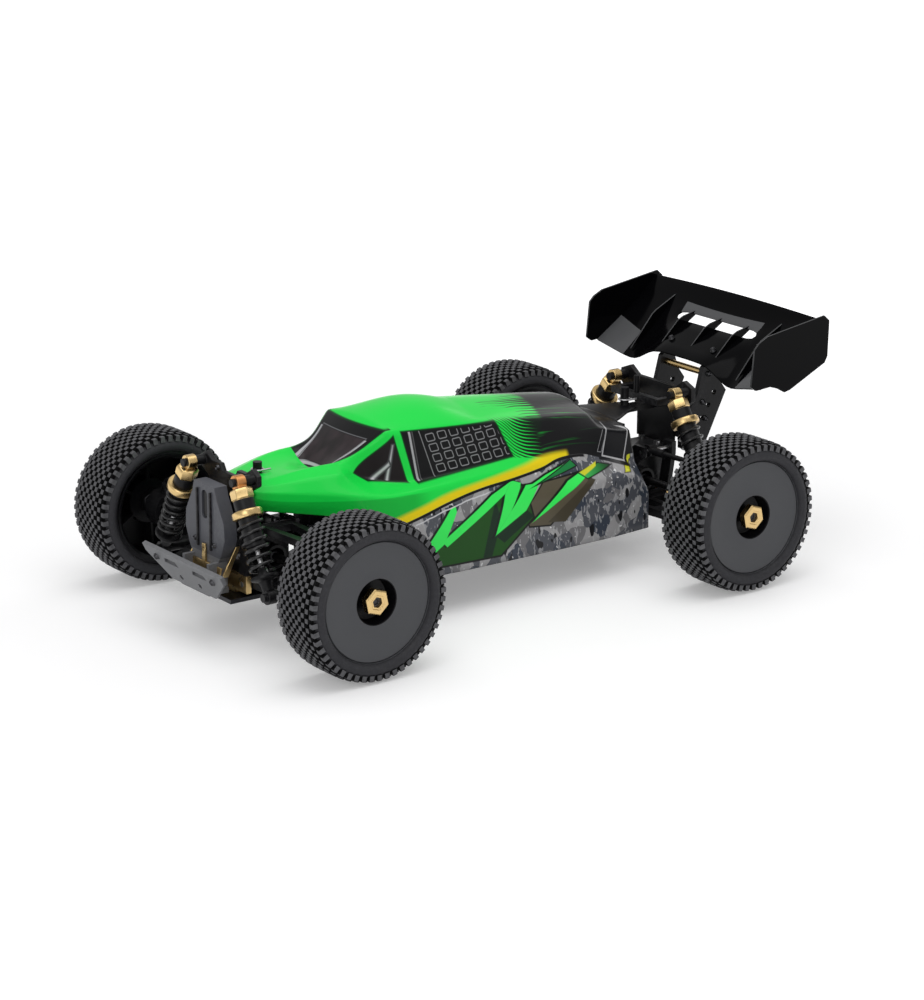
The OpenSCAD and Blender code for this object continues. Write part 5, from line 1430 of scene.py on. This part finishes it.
def make_stage():
    """Pale floor, soft studio light and the camera."""
    scene = bpy.context.scene
    bm = bmesh.new()
    bmesh.ops.create_circle(bm, cap_ends=True, segments=64, radius=9.0)
    mesh = bpy.data.meshes.new("studio_floor")
    bm.to_mesh(mesh)
    bm.free()
    floor = bpy.data.objects.new("studio_floor", mesh)
    scene.collection.objects.link(floor)
    tree, shader = new_material("floor_paper")
    mesh.materials.append(MATERIALS["floor_paper"])
    shader.inputs["Base Color"].default_value = (0.80, 0.80, 0.805, 1)
    shader.inputs["Roughness"].default_value = 0.9
    shader.inputs["Specular IOR Level"].default_value = 0.2
    path = tree.nodes.new("ShaderNodeLightPath")
    seen = Field(tree, path.outputs["Is Camera Ray"]) + Field(tree, path.outputs["Is Glossy Ray"])
    seen = seen + Field(tree, path.outputs["Is Transmission Ray"])
    shader.inputs["Emission Color"].default_value = (1, 1, 1, 1)
    coords = tree.nodes.new("ShaderNodeTexCoord")
    reach = tree.nodes.new("ShaderNodeVectorMath")
    reach.operation = "LENGTH"
    tree.links.new(coords.outputs["Object"], reach.inputs[0])
    glow = Field(tree, reach.outputs["Value"]).ramp(0.35, 1.3, 0.26, 0.80)
    feed(tree, shader.inputs["Emission Strength"], seen.low(1.0) * glow)

    world = bpy.data.worlds.new("studio_world")
    scene.world = world
    world.use_nodes = True
    tree = world.node_tree
    background = tree.nodes["Background"]
    background.inputs["Color"].default_value = (1, 1, 1, 1)
    path = tree.nodes.new("ShaderNodeLightPath")
    seen = Field(tree, path.outputs["Is Camera Ray"])
    seen = seen + Field(tree, path.outputs["Is Transmission Ray"])
    feed(tree, background.inputs["Strength"], seen.low(1.0) * 0.45 + 0.55)

    def lamp(name, at, size, power, aim=(0, 0, 0.06)):
        data = bpy.data.lights.new(name, "AREA")
        data.shape, data.size, data.size_y, data.energy = "RECTANGLE", size[0], size[1], power
        light = bpy.data.objects.new(name, data)
        scene.collection.objects.link(light)
        light.location = at
        light.rotation_euler = (Vector(aim) - Vector(at)).to_track_quat("-Z", "Y").to_euler()

    lamp("top_softbox", (0.25, -0.1, 1.5), (1.5, 1.5), 11)
    lamp("front_softbox", (1.1, -1.5, 0.9), (1.0, 0.8), 5)
    lamp("rear_softbox", (-0.5, 1.6, 0.9), (1.2, 0.6), 4)

    camera = bpy.data.objects.new("camera", bpy.data.cameras.new("camera"))
    scene.collection.objects.link(camera)
    camera.data.lens, camera.data.sensor_width = CAMERA_LENS, 36
    camera.data.clip_start, camera.data.clip_end = 0.05, 30
    ahead = Vector(CAMERA_AHEAD).normalized()
    right = ahead.cross(Vector((0, 0, 1))).normalized()
    up = right.cross(ahead)
    roll = math.radians(CAMERA_ROLL)
    right, up = (
        right * math.cos(roll) + up * math.sin(roll),
        up * math.cos(roll) - right * math.sin(roll),
    )
    camera.matrix_world = Matrix.Translation(Vector(CAMERA_AT) * MM) @ Matrix(
        (right, up, -ahead)
    ).transposed().to_4x4()
    scene.camera = camera
    scene.view_settings.view_transform = "Standard"


# ------------------------------------------------------------------ add-on


class BuggyFinishes(bpy.types.Operator):
    """Make every paint, plastic, rubber and metal of the car"""

    bl_idname = "buggy.finishes"
    bl_label = "Finishes"

    def execute(self, context):
        make_materials(context.scene.buggy_paint)
        return {"FINISHED"}


class BuggyShell(bpy.types.Operator):
    """Make the painted shell and its tail"""

    bl_idname = "buggy.shell"
    bl_label = "Painted shell"

    def execute(self, context):
        make_shell()
        return {"FINISHED"}


class BuggyWheels(bpy.types.Operator):
    """Make four tyres, rims and axles"""

    bl_idname = "buggy.wheels"
    bl_label = "Wheels"

    def execute(self, context):
        make_wheels(context.scene.buggy_tyre)
        return {"FINISHED"}


class BuggyBumper(bpy.types.Operator):
    """Make the front bumper and its guard"""

    bl_idname = "buggy.bumper"
    bl_label = "Bumper"

    def execute(self, context):
        make_bumper()
        return {"FINISHED"}


class BuggyShocks(bpy.types.Operator):
    """Make four shock absorbers with their coils"""

    bl_idname = "buggy.shocks"
    bl_label = "Shock absorbers"

    def execute(self, context):
        make_shocks(context.scene.buggy_spring)
        return {"FINISHED"}


class BuggyWing(bpy.types.Operator):
    """Make the rear wing and its mount"""

    bl_idname = "buggy.wing"
    bl_label = "Rear wing"

    def execute(self, context):
        make_wing()
        return {"FINISHED"}


class BuggyChassis(bpy.types.Operator):
    """Make the chassis plate, gearboxes, towers and hinge holders"""

    bl_idname = "buggy.chassis"
    bl_label = "Chassis"

    def execute(self, context):
        make_chassis()
        return {"FINISHED"}


class BuggySuspension(bpy.types.Operator):
    """Make the arms, links, uprights, shafts and steering"""

    bl_idname = "buggy.suspension"
    bl_label = "Suspension and steering"

    def execute(self, context):
        make_suspension()
        return {"FINISHED"}


class BuggyPower(bpy.types.Operator):
    """Make the motor, gears, battery, servo and electronics"""

    bl_idname = "buggy.power"
    bl_label = "Motor and electronics"

    def execute(self, context):
        make_power()
        return {"FINISHED"}


class BuggyHardware(bpy.types.Operator):
    """Make the body clips and screws"""

    bl_idname = "buggy.hardware"
    bl_label = "Clips and screws"

    def execute(self, context):
        make_hardware()
        return {"FINISHED"}


class BuggyStage(bpy.types.Operator):
    """Make the floor, lights and camera"""

    bl_idname = "buggy.stage"
    bl_label = "Studio"

    def execute(self, context):
        make_stage()
        return {"FINISHED"}


STEPS = (
    BuggyFinishes, BuggyShell, BuggyWheels, BuggyBumper, BuggyShocks, BuggyWing,
    BuggyChassis, BuggySuspension, BuggyPower, BuggyHardware, BuggyStage,
)
SETTINGS = (("buggy_paint", BuggyPaint), ("buggy_tyre", BuggyTyre), ("buggy_spring", BuggySpring))


class BuggyPanel(bpy.types.Panel):
    """Buttons and sizes of the buggy"""

    bl_idname = "VIEW3D_PT_buggy"
    bl_label = "Model buggy"
    bl_space_type = "VIEW_3D"
    bl_region_type = "UI"
    bl_category = "Buggy"

    def draw(self, context):
        for step in STEPS:
            self.layout.operator(step.bl_idname)
        for name, group in SETTINGS:
            box = self.layout.box()
            for field in group.__annotations__:
                box.prop(getattr(context.scene, name), field)


def register():
    """Registers the settings, operators and panel."""
    for name, group in SETTINGS:
        bpy.utils.register_class(group)
        setattr(bpy.types.Scene, name, bpy.props.PointerProperty(type=group))
    for cls in (*STEPS, BuggyPanel):
        bpy.utils.register_class(cls)


def unregister():
    """Takes them away again."""
    for cls in (BuggyPanel, *reversed(STEPS)):
        bpy.utils.unregister_class(cls)
    for name, group in SETTINGS:
        delattr(bpy.types.Scene, name)
        bpy.utils.unregister_class(group)


def main():
    register()
    for step in STEPS:
        group, name = step.bl_idname.split(".")
        if getattr(getattr(bpy.ops, group), name)() != {"FINISHED"}:
            raise RuntimeError(f"{step.bl_label} was not finished")
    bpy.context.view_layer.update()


if __name__ == "__main__":
    main()
